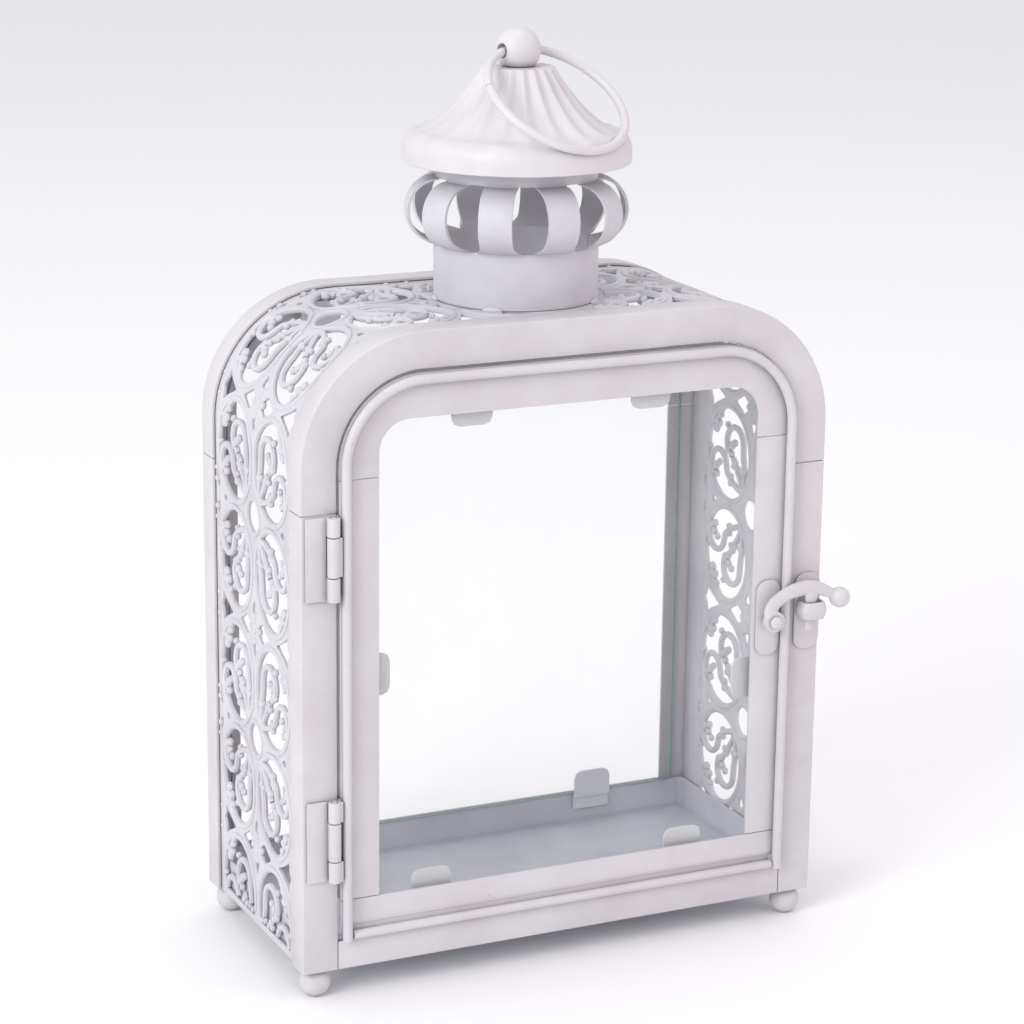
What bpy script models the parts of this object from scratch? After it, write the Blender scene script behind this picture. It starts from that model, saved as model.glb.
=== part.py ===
"""A pierced metal candle lantern: an arched box on four ball feet, a hinged glass door with a
hook latch, a slit and bulged chimney, a fluted cap and a carry ring. Metres, +Z up, door
towards -Y, origin on the table under the middle of the body. Heights are measured from the
lower edge of the body unless a comment says otherwise."""
import math

import bmesh
import bpy
from mathutils import Matrix, Vector

# Body
BODY_WIDTH = 0.2000
BODY_DEPTH = 0.0956
BODY_HEIGHT = 0.2225
CORNER_RADIUS = 0.0450
CORNER_FACETS = 6
FOOT_HEIGHT = 0.0104
SHEET = 0.0010
GAP = 0.0003

# Front and back frames
FRAME_FACE = 0.0128
FRAME_FLANGE = 0.0108
ARCH_DROP = 0.0594
FRONT_RAIL_HEIGHT = 0.0103
BACK_RAIL_HEIGHT = 0.0130

# Filigree band that wraps the left side, the top and the right side
BAND_THICKNESS = 0.0012
BAND_HEM = 0.0025
TILE_PITCH = 0.0811
HALF_PITCH = TILE_PITCH / 2
FIRST_MEDALLION = 0.0701
EYE_RADIUS = 0.0055
LOBE_CENTRE = (0.0176, 0.01955)
LOBE_RADII = (0.0160, 0.01805)
UPPER_CURL = (0.0136, 0.0243)
UPPER_CURL_OUTER = 0.0070
UPPER_CURL_INNER = 0.0048
LOWER_CURL = (0.0256, 0.0139)
LOWER_CURL_OUTER = 0.0066
LOWER_CURL_INNER = 0.0044
SEAT_RING_LAP = 0.0021
SEAT_RING_LIP = 0.0044
SMALLEST_OPENING = 2.5e-6

# Floor tray and feet
TRAY_WALL_HEIGHT = 0.0125
TRAY_CORNER = 0.0020
FOOT_RADIUS = 0.0055
FOOT_CENTRE = 0.0052
FOOT_INSET_X = 0.0066
FOOT_INSET_Y = 0.0060

# Door
DOOR_MARGIN_LEFT = 0.0013
DOOR_MARGIN_RIGHT = 0.0006
DOOR_MARGIN_TOP = 0.0015
DOOR_MARGIN_BOTTOM = 0.0007
DOOR_CORNER = 0.0300
DOOR_FLANGE = 0.0060
DOOR_ARCH_DROP = 0.0342
DOOR_STRIP_WIDTH = 0.0142
DOOR_HEAD = 0.0152
DOOR_RAIL_HEIGHT = 0.0140
OPENING_CORNER = 0.0110
BEAD_RADIUS = 0.0017
HEM_RADIUS = 0.0016
HEM_OUT = 0.0013
GLASS_THICKNESS = 0.0020
GLASS_LAP = 0.0040
BACK_GLASS_INSET = 0.0085

# Clips that hold the panes
CLIP_WIDTH = 0.0150
CLIP_FOOT = 0.0062
SHORT_CLIP_FOOT = 0.0042
CLIP_TONGUE = 0.0095
CLIP_TIP_ROUNDING = 0.0030
DOOR_CLIP_LOWER = (0.0252, 0.0279)
DOOR_CLIP_UPPER = (0.0395, 0.0449)
DOOR_CLIP_DROP = (0.0932, 0.1127)
BACK_CLIP_INSET = 0.0440

# Hinges, on the left
HINGE_OUT = 0.0025
KNUCKLE_RADIUS = 0.0022
KNUCKLE_BORE = 0.0013
PIN_RADIUS = 0.0010
LEAF_THICKNESS = 0.0008
LEAF_INSET = 0.0015
DOOR_LEAF_THICKNESS = 0.0007
DOOR_LEAF_DEPTH = 0.0075
HINGE_LENGTH = 0.0290
UPPER_HINGE_DROP = 0.0747
LOWER_HINGE_RISE = 0.0226
UPPER_HINGE_JOINTS = (0.0084, 0.0223)
LOWER_HINGE_JOINTS = (0.0077, 0.0215)

# Latch, on the right. Places are taken from the rivet, across and up.
PLATE_THICKNESS = 0.0008
PLATE_CORNER = 0.0042
RIVET_INSET = 0.0083
RIVET_HEIGHT = 0.1071
LATCH_PLATE_SIZE = (0.0096, 0.0280)
LATCH_PLATE_SHIFT = (0.0001, 0.0002)
CATCH_PLATE_SIZE = (0.0103, 0.0285)
CATCH_PLATE_RISE = 0.0010
CATCH_PLATE_INSET = 0.0005
DISC_RADIUS = 0.0040
HOOK_THICKNESS = 0.0028
HOOK_MIDDLE_OUT = 0.0054
ARM_LINE = ((-0.0013, 0.0014), (-0.0015, 0.0044), (0.0001, 0.0069), (0.0047, 0.0097))
ARM_LINE += ((0.0097, 0.0110), (0.0142, 0.0112), (0.0187, 0.0103), (0.0267, 0.0060))
ARM_RADII = (0.0026, 0.0025, 0.0024, 0.0024, 0.0025, 0.0025, 0.0022, 0.0018)
PRONG_LINE = ((0.0153, 0.0109), (0.0151, 0.0054), (0.0148, 0.0009), (0.0144, -0.0051))
PRONG_RADII = (0.0036, 0.0021, 0.0017, 0.0015)
HOOK_BALL = 0.0038
HOOK_BALL_PLACE = (0.0269, 0.0060)
RIVET_RADIUS = 0.0012
RIVET_BORE = 0.0015
RIVET_BOSS = 0.0022
RIVET_HEAD = 0.0024
RIVET_HEAD_HEIGHT = 0.0017
STAPLE_SHEET = 0.0010
STAPLE_WIDTH = 0.0100
STAPLE_ROUNDING = 0.0018
STAPLE_LEVELS = (-0.0008, 0.0055)
STAPLE_OUT = 0.0082

# Chimney. Heights are taken from the part below.
COLLAR_RADIUS = 0.0289
COLLAR_HEIGHT = 0.0186
STRIP_HEIGHT = 0.0225
NECK_RADIUS = 0.0284
BULGE_RADIUS = 0.03915
STRIP_COUNT = 10
STRIP_WIDTH = 0.0116
CHIMNEY_FACETS = 40

# Cap and finial. The cap's skirt stands above the strips.
CAP_CLEARANCE = 0.0056
CAP_RIM_RADIUS = 0.03995
CAP_RIM_HEIGHT = 0.0048
CAP_SHOULDER = (0.0390, 0.0078)
CAP_FOOT = (0.0365, 0.0106)
CAP_EDGE = (0.0125, 0.0324)
CAP_SWEEP = 1.6
CAP_RINGS = 6
FLUTE_COUNT = 20
FLUTE_FACETS = 3
FLUTE_DEPTH = 0.0013
FLUTE_START = 0.55
FLUTE_RUN_IN = 0.0050
FLUTE_RUN_OUT = 0.0045
BALL_RADIUS = 0.0079
BALL_SINK = 0.0022
BALL_BORE = 0.0026

# Carry ring
RING_RADIUS = 0.0256
RING_WIRE = 0.0015
RING_TURN = math.radians(16.0)
RING_LEAN = math.radians(-36.3)
RING_SAG = 0.00055
RING_FACETS = 36

# Derived places
FRONT = -BODY_DEPTH / 2
BACK = BODY_DEPTH / 2
CORNER_HEIGHT = BODY_HEIGHT - CORNER_RADIUS
CORNER_X = BODY_WIDTH / 2 - CORNER_RADIUS
BAND_OUTER = SHEET + GAP
BAND_LENGTH = 2 * CORNER_HEIGHT + math.pi * CORNER_RADIUS + 2 * CORNER_X
ARCH_SEAM = BODY_HEIGHT - ARCH_DROP
SEAT_RING_OUTER = COLLAR_RADIUS + SEAT_RING_LAP
SEAT_RING_INNER = COLLAR_RADIUS - SEAT_RING_LIP
DOOR_LEFT = -BODY_WIDTH / 2 + FRAME_FACE + DOOR_MARGIN_LEFT
DOOR_RIGHT = BODY_WIDTH / 2 - FRAME_FACE - DOOR_MARGIN_RIGHT
DOOR_TOP = BODY_HEIGHT - FRAME_FACE - DOOR_MARGIN_TOP
DOOR_BOTTOM = FRONT_RAIL_HEIGHT + DOOR_MARGIN_BOTTOM
DOOR_ARCH_SEAM = DOOR_TOP - DOOR_ARCH_DROP
DOOR_RAIL_TOP = DOOR_BOTTOM + DOOR_RAIL_HEIGHT
OPENING_LEFT = DOOR_LEFT + DOOR_STRIP_WIDTH
OPENING_RIGHT = DOOR_RIGHT - DOOR_STRIP_WIDTH
OPENING_TOP = DOOR_TOP - DOOR_HEAD
GLASS_FRONT = FRONT + SHEET + GAP
GLASS_LEFT = OPENING_LEFT - GLASS_LAP
GLASS_RIGHT = OPENING_RIGHT + GLASS_LAP
GLASS_BOTTOM = DOOR_RAIL_TOP - GLASS_LAP
GLASS_TOP = OPENING_TOP + GLASS_LAP
HINGE_X = DOOR_LEFT - GAP - DOOR_LEAF_THICKNESS - KNUCKLE_RADIUS
HINGE_Y = FRONT - HINGE_OUT
PIVOT_X = DOOR_RIGHT - RIVET_INSET
COLLAR_TOP = BODY_HEIGHT + COLLAR_HEIGHT
STRIP_TOP = COLLAR_TOP + STRIP_HEIGHT
CAP_BOTTOM = STRIP_TOP + CAP_CLEARANCE
CAP_TOP = CAP_BOTTOM + CAP_EDGE[1]
BALL_CENTRE = CAP_TOP + BALL_RADIUS - BALL_SINK
BODY_ORIGIN = Vector((0.0, 0.0, FOOT_HEIGHT))

for stale in list(bpy.data.objects):
    bpy.data.objects.remove(stale, do_unlink=True)

lantern = bpy.data.collections.new("metal_lantern")
cutting_tools = bpy.data.collections.new("metal_lantern_cutters")
bpy.context.scene.collection.children.link(lantern)
bpy.context.scene.collection.children.link(cutting_tools)


def place(name, mesh, colour, roughness=0.42, location=BODY_ORIGIN, transmission=0.0):
    """Put a finished mesh in the lantern's collection with a material of its own."""
    material = bpy.data.materials.new(name)
    material.use_nodes = True
    shader = material.node_tree.nodes["Principled BSDF"]
    shader.inputs["Base Color"].default_value = (*colour, 1.0)
    shader.inputs["Roughness"].default_value = roughness
    shader.inputs["Metallic"].default_value = 0.0
    shader.inputs["Transmission Weight"].default_value = transmission
    mesh.materials.clear()
    mesh.materials.append(material)
    piece = bpy.data.objects.new(name, mesh)
    piece.location = location
    lantern.objects.link(piece)
    return piece


def cutter(name, mesh):
    """Put a mesh among the cutters, where it is shown as a wire."""
    tool = bpy.data.objects.new(name, mesh)
    tool.location = BODY_ORIGIN
    tool.hide_render = True
    tool.display_type = "WIRE"
    cutting_tools.objects.link(tool)
    return tool


def boolean(piece, tool, operation):
    """Cut the piece with the tool, or join the tool to it."""
    modifier = piece.modifiers.new(tool.name, "BOOLEAN")
    modifier.operation = operation
    modifier.solver = "EXACT"
    modifier.object = tool


def mesh_from(bm, name):
    """Turn a closed edit mesh into a mesh whose faces point outwards."""
    bmesh.ops.recalc_face_normals(bm, faces=bm.faces[:])
    mesh = bpy.data.meshes.new(name)
    bm.to_mesh(mesh)
    bm.free()
    return mesh


def smooth(mesh, degrees=35.0):
    """Shade a round piece smooth and keep its real edges sharp."""
    mesh.shade_smooth()
    mesh.set_sharp_from_angle(angle=math.radians(degrees))
    return mesh


def arc(centre, radii, start, end, steps):
    """Points along an arc of a circle or an ellipse, with its angles in degrees."""
    across, along = radii if isinstance(radii, tuple) else (radii, radii)
    angles = [math.radians(start + (end - start) * step / steps) for step in range(steps + 1)]
    return [(centre[0] + across * math.cos(a), centre[1] + along * math.sin(a)) for a in angles]


def rounded_outline(left, right, bottom, top, lower, upper, steps=5):
    """A rectangle with rounded lower and upper corners, anticlockwise from the lower left."""
    points = arc((left + lower, bottom + lower), lower, 180, 270, steps)
    points += arc((right - lower, bottom + lower), lower, 270, 360, steps)
    points += arc((right - upper, top - upper), upper, 0, 90, steps)
    points += arc((left + upper, top - upper), upper, 90, 180, steps)
    return points


def arched_outline(left, right, bottom, top, radius, steps=CORNER_FACETS):
    """A rectangle with square lower corners and rounded upper ones."""
    points = [(left, bottom), (right, bottom)]
    points += arc((right - radius, top - radius), radius, 0, 90, steps)
    points += arc((left + radius, top - radius), radius, 90, 180, steps)
    return points


def box_mesh(name, lowest, highest):
    """A box between two corners."""
    bm = bmesh.new()
    bmesh.ops.create_cube(bm, size=1.0)
    size = Vector(highest) - Vector(lowest)
    bmesh.ops.scale(bm, vec=size, verts=bm.verts)
    bmesh.ops.translate(bm, vec=Vector(lowest) + size / 2, verts=bm.verts)
    return mesh_from(bm, name)


def rod_mesh(name, radius, start, end, sides=16):
    """A round bar from one point to another."""
    axis = Vector(end) - Vector(start)
    bm = bmesh.new()
    bmesh.ops.create_cone(
        bm, cap_ends=True, segments=sides, radius1=radius, radius2=radius, depth=axis.length
    )
    turn = axis.to_track_quat("Z", "Y").to_matrix().to_4x4()
    bmesh.ops.transform(bm, matrix=turn, verts=bm.verts)
    bmesh.ops.translate(bm, vec=(Vector(start) + Vector(end)) / 2, verts=bm.verts)
    return smooth(mesh_from(bm, name))


def ball_mesh(name, radius, centre, segments, rings):
    """A sphere with its poles up and down."""
    bm = bmesh.new()
    bmesh.ops.create_uvsphere(bm, u_segments=segments, v_segments=rings, radius=radius)
    bmesh.ops.translate(bm, vec=centre, verts=bm.verts)
    return smooth(mesh_from(bm, name))


def curve_mesh(name, curve):
    """Read a curve as a mesh with its caps welded on."""
    holder = bpy.data.objects.new(name, curve)
    lantern.objects.link(holder)
    graph = bpy.context.evaluated_depsgraph_get()
    mesh = bpy.data.meshes.new_from_object(holder.evaluated_get(graph))
    bpy.data.objects.remove(holder)
    bpy.data.curves.remove(curve)
    bm = bmesh.new()
    bm.from_mesh(mesh)
    bpy.data.meshes.remove(mesh)
    bmesh.ops.remove_doubles(bm, verts=bm.verts, dist=1e-6)
    return mesh_from(bm, name)


def sheet_mesh(name, loops, thickness):
    """A flat outline with its openings, as a sheet lying on the XY plane."""
    curve = bpy.data.curves.new(name, "CURVE")
    curve.dimensions = "2D"
    curve.fill_mode = "BOTH"
    curve.extrude = thickness / 2
    for loop in loops:
        spline = curve.splines.new("POLY")
        spline.points.add(len(loop) - 1)
        for point, (x, y) in zip(spline.points, loop):
            point.co = (x, y, 0.0, 1.0)
        spline.use_cyclic_u = True
    return curve_mesh(name, curve)


def standing_mesh(name, loops, y_near, y_far):
    """A flat outline in X and Z with its thickness between two places along Y."""
    mesh = sheet_mesh(name, loops, y_far - y_near)
    upright = Matrix.Rotation(math.pi / 2, 4, "X")
    mesh.transform(Matrix.Translation((0.0, (y_near + y_far) / 2, 0.0)) @ upright)
    return mesh


def wire_mesh(name, points, radii, closed=False):
    """A round wire along a line of points, with a radius at each point."""
    curve = bpy.data.curves.new(name, "CURVE")
    curve.dimensions = "3D"
    curve.bevel_depth = 1.0
    curve.bevel_resolution = 2
    curve.use_fill_caps = True
    spline = curve.splines.new("POLY")
    spline.points.add(len(points) - 1)
    for point, place_on_line, radius in zip(spline.points, points, radii):
        point.co = (*place_on_line, 1.0)
        point.radius = radius
    spline.use_cyclic_u = closed
    return smooth(curve_mesh(name, curve))


def swept_mesh(name, profile, moves):
    """A closed profile carried through a chain of moves, with flat ends."""
    bm = bmesh.new()
    start = bm.faces.new([bm.verts.new(point) for point in profile])
    edges = list(start.edges)
    for move in moves:
        made = bmesh.ops.extrude_edge_only(bm, edges=edges)["geom"]
        verts = [item for item in made if isinstance(item, bmesh.types.BMVert)]
        edges = [item for item in made if isinstance(item, bmesh.types.BMEdge) and item.is_boundary]
        bmesh.ops.transform(bm, matrix=move, verts=verts)
    bmesh.ops.holes_fill(bm, edges=edges, sides=len(profile))
    return mesh_from(bm, name)


def turned_mesh(name, profile, facets, thickness=0.0):
    """Revolve a profile of radius and height, and give it a wall inwards where one is asked."""
    mesh = bpy.data.meshes.new(name)
    points = [(radius, 0.0, height) for radius, height in profile]
    mesh.from_pydata(points, [(i, i + 1) for i in range(len(points) - 1)], [])
    holder = bpy.data.objects.new(name, mesh)
    lantern.objects.link(holder)
    screw = holder.modifiers.new("turn", "SCREW")
    screw.steps = facets
    screw.render_steps = facets
    screw.use_merge_vertices = True
    screw.merge_threshold = 1e-6
    if thickness:
        wall = holder.modifiers.new("wall", "SOLIDIFY")
        wall.thickness = thickness
        wall.offset = -1.0
        wall.use_even_offset = True
    graph = bpy.context.evaluated_depsgraph_get()
    turned = bpy.data.meshes.new_from_object(holder.evaluated_get(graph))
    bpy.data.objects.remove(holder)
    return smooth(turned)


def shift(x=0.0, y=0.0, z=0.0):
    """A straight move."""
    return Matrix.Translation((x, y, z))


def bend(x, z, degrees, steps):
    """Equal turns about an axis along Y, clockwise as seen from the door."""
    centre = Vector((x, 0.0, z))
    turn = Matrix.Rotation(math.radians(degrees) / steps, 4, "Y")
    return [Matrix.Translation(centre) @ turn @ Matrix.Translation(-centre)] * steps


# Front and back frames: a narrow face with a flange that laps over the filigree band
def frame_profile(side, x_out, inwards, z):
    """The L section of a frame, with its flange along the outside of the body."""
    face = side * BODY_DEPTH / 2
    behind = face - side * SHEET
    tail = face - side * FRAME_FLANGE
    return [
        (x_out, face, z),
        (x_out + inwards * FRAME_FACE, face, z),
        (x_out + inwards * FRAME_FACE, behind, z),
        (x_out + inwards * SHEET, behind, z),
        (x_out + inwards * SHEET, tail, z),
        (x_out, tail, z),
    ]


for label, side, rail_height in (("front", -1, FRONT_RAIL_HEIGHT), ("back", 1, BACK_RAIL_HEIGHT)):
    half = BODY_WIDTH / 2
    rise = CORNER_HEIGHT - ARCH_SEAM - GAP / 2
    round_the_arch = [shift(z=rise)]
    round_the_arch += bend(-CORNER_X, CORNER_HEIGHT, 90, CORNER_FACETS)
    round_the_arch += [shift(x=2 * CORNER_X)]
    round_the_arch += bend(CORNER_X, CORNER_HEIGHT, 90, CORNER_FACETS)
    round_the_arch += [shift(z=-rise)]
    arch_profile = frame_profile(side, -half, 1, ARCH_SEAM + GAP / 2)
    arch = swept_mesh(label + "_arch", arch_profile, round_the_arch)
    place(label + "_arch", arch, (0.74, 0.71, 0.73))
    for hand, x_out, inwards in (("left", -half, 1), ("right", half, -1)):
        name = label + "_" + hand + "_stile"
        stile = swept_mesh(
            name, frame_profile(side, x_out, inwards, 0.0), [shift(z=ARCH_SEAM - GAP / 2)]
        )
        place(name, stile, (0.74, 0.71, 0.73))
    reach = half - FRAME_FACE - GAP
    near, far = sorted((side * BODY_DEPTH / 2, side * (BODY_DEPTH / 2 - SHEET)))
    rail = box_mesh(label + "_bottom_rail", (-reach, near, 0.0), (reach, far, rail_height))
    place(label + "_bottom_rail", rail, (0.72, 0.70, 0.72))


# Filigree band: one pierced strip, cut flat and then bent round the body.
# Along the strip the pattern repeats at every medallion, mirrored four ways.
def quarter_openings():
    """The openings in one quarter of a medallion, as points across and along the strip."""
    crescent = arc(LOBE_CENTRE, LOBE_RADII, 80, 205, 4)
    crescent += [(0.0036, 0.0094), (0.0058, 0.0110)]
    crescent += arc(UPPER_CURL, UPPER_CURL_OUTER, 200, 65, 3)
    upper_scroll = arc(UPPER_CURL, UPPER_CURL_INNER, 130, -55, 4)
    upper_scroll += [(0.0126, 0.0156), (0.0090, 0.0116), (0.0106, 0.0182), (0.0154, 0.0236)]
    upper_leaf = [(0.0225, 0.0367), (0.0289, 0.0323), (0.0246, 0.0304), (0.0232, 0.0260)]
    upper_leaf += [(0.0219, 0.0300)]
    side_leaf = [(0.0302, 0.0307), (0.03325, 0.0233), (0.0312, 0.0216), (0.0262, 0.0234)]
    side_leaf += [(0.0296, 0.0252)]
    lower_scroll = arc(LOWER_CURL, LOWER_CURL_INNER, 190, -20, 4)
    lower_scroll += [(0.0246, 0.0154), (0.0224, 0.0122), (0.0124, 0.0080), (0.0166, 0.0122)]
    heel = arc(LOBE_CENTRE, LOBE_RADII, 245, 325, 3)
    heel += arc(LOWER_CURL, LOWER_CURL_OUTER, -55, -90, 1)
    heel += [(0.0174, 0.0044), (0.0126, 0.0052)]
    return [crescent, upper_scroll, upper_leaf, side_leaf, lower_scroll, heel]


def junction_openings():
    """The openings of the bar between two medallions, on one side of its flower."""
    inner = [(0.0034, 0.0396), (0.0072, 0.0366), (0.0106, 0.0387), (0.0142, HALF_PITCH)]
    outer = [(0.0215, HALF_PITCH), (0.0290, 0.0369), (0.0315, 0.0346), (0.0318, 0.0384)]
    outer += [(0.0336, HALF_PITCH)]
    openings = []
    for edge in (inner, outer):
        mirrored = [(across, TILE_PITCH - along) for across, along in reversed(edge[:-1])]
        openings.append(edge + mirrored)
    return openings


def area(loop):
    """Area inside a loop of points."""
    pairs = zip(loop, loop[1:] + loop[:1])
    return abs(sum(x * v - u * y for (x, y), (u, v) in pairs)) / 2


def room(point):
    """How far a point of the flat strip lies clear of the solid hems and of the round seat."""
    along, across = point
    to_seat = math.hypot(along - BAND_LENGTH / 2, across) - SEAT_RING_OUTER
    return min(along - BAND_HEM, BAND_LENGTH - BAND_HEM - along, to_seat)


def kept_clear(loop):
    """The largest part of an opening that lies clear of the solid sheet, closed by a chord."""
    rooms = [room(point) for point in loop]
    if min(rooms) > 0.0:
        return loop
    if max(rooms) <= 0.0:
        return []
    first = next(i for i, value in enumerate(rooms) if value <= 0.0 < rooms[i - len(loop) + 1])
    parts = []
    for step in range(len(loop)):
        here = (first + step) % len(loop)
        after = (here + 1) % len(loop)
        if rooms[here] > 0.0:
            parts[-1].append(loop[here])
        if (rooms[here] > 0.0) != (rooms[after] > 0.0):
            share = rooms[here] / (rooms[here] - rooms[after])
            crossing = tuple(a + (b - a) * share for a, b in zip(loop[here], loop[after]))
            if rooms[after] > 0.0:
                parts.append([crossing])
            else:
                parts[-1].append(crossing)
    return max(parts, key=area)


def band_openings():
    """All openings of the flat strip, as points along and across it."""
    openings = []
    for index in range(-1, 8):
        centre = FIRST_MEDALLION + index * TILE_PITCH
        for loop in quarter_openings():
            for side in (1, -1):
                for way in (1, -1):
                    openings.append([(centre + way * b, side * a) for a, b in loop])
        openings.append([(centre + b, a) for a, b in arc((0.0, 0.0), EYE_RADIUS, 0, 315, 7)])
        for side in (1, -1):
            diamond = [(0.0256, 0.0), (0.0280, 0.0015), (0.0293, 0.0), (0.0280, -0.0015)]
            openings.append([(centre + b, side * a) for a, b in diamond])
            bud = [(0.0, 0.0295), (0.0023, 0.0340), (0.0, 0.0368), (-0.0023, 0.0340)]
            openings.append([(centre + side * b, a) for a, b in bud])
            for loop in junction_openings():
                openings.append([(centre + b, side * a) for a, b in loop])
    clear = [kept_clear(loop) for loop in openings]
    return [loop for loop in clear if area(loop) > SMALLEST_OPENING]


def band_stations():
    """Lengths along the strip where its folds lie."""
    step = math.pi / 2 * CORNER_RADIUS / CORNER_FACETS
    first = [CORNER_HEIGHT + step * index for index in range(CORNER_FACETS + 1)]
    return [0.0] + first + [BAND_LENGTH - length for length in reversed(first)] + [BAND_LENGTH]


def band_path(inset):
    """The folds' places in X and Z for a surface set in from the outline of the body."""
    radius = CORNER_RADIUS - inset
    points = [(-BODY_WIDTH / 2 + inset, 0.0)]
    points += arc((-CORNER_X, CORNER_HEIGHT), radius, 180, 90, CORNER_FACETS)
    points += arc((CORNER_X, CORNER_HEIGHT), radius, 90, 0, CORNER_FACETS)
    points += [(BODY_WIDTH / 2 - inset, 0.0)]
    return points


def filigree_mesh():
    """The pierced strip, folded at its stations and carried to its path fold by fold."""
    half_width = BODY_DEPTH / 2 - SHEET - GAP
    border = [(0.0, -half_width), (BAND_LENGTH, -half_width)]
    border += [(BAND_LENGTH, half_width), (0.0, half_width)]
    seat = arc((BAND_LENGTH / 2, 0.0), SEAT_RING_INNER, 0, 345, 23)
    flat = sheet_mesh("filigree_band", [border, seat] + band_openings(), BAND_THICKNESS)
    bm = bmesh.new()
    bm.from_mesh(flat)
    stations = band_stations()
    for length in stations[1:-1]:
        everything = bm.verts[:] + bm.edges[:] + bm.faces[:]
        bmesh.ops.bisect_plane(
            bm, geom=everything, dist=1e-7, plane_co=(length, 0.0, 0.0), plane_no=(1.0, 0.0, 0.0)
        )
    outer = band_path(BAND_OUTER)
    inner = band_path(BAND_OUTER + BAND_THICKNESS)
    for vert in bm.verts:
        fold = 0
        while fold < len(stations) - 2 and vert.co.x > stations[fold + 1]:
            fold += 1
        share = (vert.co.x - stations[fold]) / (stations[fold + 1] - stations[fold])
        path = outer if vert.co.z > 0.0 else inner
        start = Vector((path[fold][0], 0.0, path[fold][1]))
        end = Vector((path[fold + 1][0], 0.0, path[fold + 1][1]))
        across = vert.co.y
        vert.co = start.lerp(end, share)
        vert.co.y = across
    return mesh_from(bm, "filigree_band")


place("filigree_band", filigree_mesh(), (0.76, 0.75, 0.77))


# Floor tray: an open pan with upturned walls inside the band and the frames
def tray_mesh():
    """An open pan of even sheet."""
    half_x = BODY_WIDTH / 2 - BAND_OUTER - BAND_THICKNESS - GAP
    half_y = BODY_DEPTH / 2 - SHEET - GAP
    outline = rounded_outline(-half_x, half_x, -half_y, half_y, TRAY_CORNER, TRAY_CORNER, 2)
    bm = bmesh.new()
    floor = bm.faces.new([bm.verts.new((x, y, 0.0)) for x, y in outline])
    walls = bmesh.ops.extrude_edge_only(bm, edges=list(floor.edges))["geom"]
    rims = [item for item in walls if isinstance(item, bmesh.types.BMVert)]
    bmesh.ops.translate(bm, vec=(0.0, 0.0, TRAY_WALL_HEIGHT), verts=rims)
    bmesh.ops.recalc_face_normals(bm, faces=bm.faces[:])
    if floor.normal.z > 0.0:
        bmesh.ops.reverse_faces(bm, faces=bm.faces[:])
    mesh = bpy.data.meshes.new("floor_tray")
    bm.to_mesh(mesh)
    bm.free()
    return mesh


tray = place("floor_tray", tray_mesh(), (0.47, 0.48, 0.50), roughness=0.5)
tray_wall = tray.modifiers.new("sheet", "SOLIDIFY")
tray_wall.thickness = SHEET
tray_wall.offset = -1.0
tray_wall.use_even_offset = True


# Feet: balls flattened where they meet the tray and where they stand
def foot_mesh():
    """A ball with a flat top and a flat base, centred on its own middle."""
    bm = bmesh.new()
    bmesh.ops.create_uvsphere(bm, u_segments=12, v_segments=8, radius=FOOT_RADIUS)
    for height, way in ((FOOT_CENTRE - GAP, 1.0), (FOOT_CENTRE - FOOT_HEIGHT, -1.0)):
        cut = bmesh.ops.bisect_plane(
            bm,
            geom=bm.verts[:] + bm.edges[:] + bm.faces[:],
            plane_co=(0.0, 0.0, height),
            plane_no=(0.0, 0.0, way),
            clear_outer=True,
        )["geom_cut"]
        rim = [item for item in cut if isinstance(item, bmesh.types.BMEdge)]
        bmesh.ops.holes_fill(bm, edges=rim)
    return smooth(mesh_from(bm, "foot"))


foot_x = BODY_WIDTH / 2 - FOOT_INSET_X
foot_y = BODY_DEPTH / 2 - FOOT_INSET_Y
for name, x, y in (
    ("foot_front_left", -foot_x, -foot_y),
    ("foot_front_right", foot_x, -foot_y),
    ("foot_back_left", -foot_x, foot_y),
    ("foot_back_right", foot_x, foot_y),
):
    spot = Vector((x, y, FOOT_HEIGHT - FOOT_CENTRE))
    place(name, foot_mesh(), (0.69, 0.67, 0.69), location=spot)


# Door: plates with a return flange, a rolled hem below and a round bead on three sides
def door_strip_profile(x_out, x_in, z):
    """The L section of a door strip, with its flange along the door's outer edge."""
    lip = x_out + math.copysign(SHEET, x_in - x_out)
    return [
        (x_out, FRONT, z),
        (x_in, FRONT, z),
        (x_in, FRONT + SHEET, z),
        (lip, FRONT + SHEET, z),
        (lip, FRONT + DOOR_FLANGE, z),
        (x_out, FRONT + DOOR_FLANGE, z),
    ]


strip_bottom = DOOR_RAIL_TOP + GAP
strip_length = DOOR_ARCH_SEAM - GAP / 2 - strip_bottom
for name, x_out, x_in in (
    ("door_left_strip", DOOR_LEFT, OPENING_LEFT),
    ("door_right_strip", DOOR_RIGHT, OPENING_RIGHT),
):
    strip = swept_mesh(name, door_strip_profile(x_out, x_in, strip_bottom), [shift(z=strip_length)])
    place(name, strip, (0.73, 0.70, 0.72))

arch_foot = DOOR_ARCH_SEAM + GAP / 2
door_arch_outline = [(OPENING_LEFT, arch_foot), (DOOR_LEFT, arch_foot)]
door_arch_outline += arc(
    (DOOR_LEFT + DOOR_CORNER, DOOR_TOP - DOOR_CORNER), DOOR_CORNER, 180, 90, CORNER_FACETS
)
door_arch_outline += arc(
    (DOOR_RIGHT - DOOR_CORNER, DOOR_TOP - DOOR_CORNER), DOOR_CORNER, 90, 0, CORNER_FACETS
)
door_arch_outline += [(DOOR_RIGHT, arch_foot), (OPENING_RIGHT, arch_foot)]
door_arch_outline += arc(
    (OPENING_RIGHT - OPENING_CORNER, OPENING_TOP - OPENING_CORNER), OPENING_CORNER, 0, 90, 4
)
door_arch_outline += arc(
    (OPENING_LEFT + OPENING_CORNER, OPENING_TOP - OPENING_CORNER), OPENING_CORNER, 90, 180, 4
)
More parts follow.
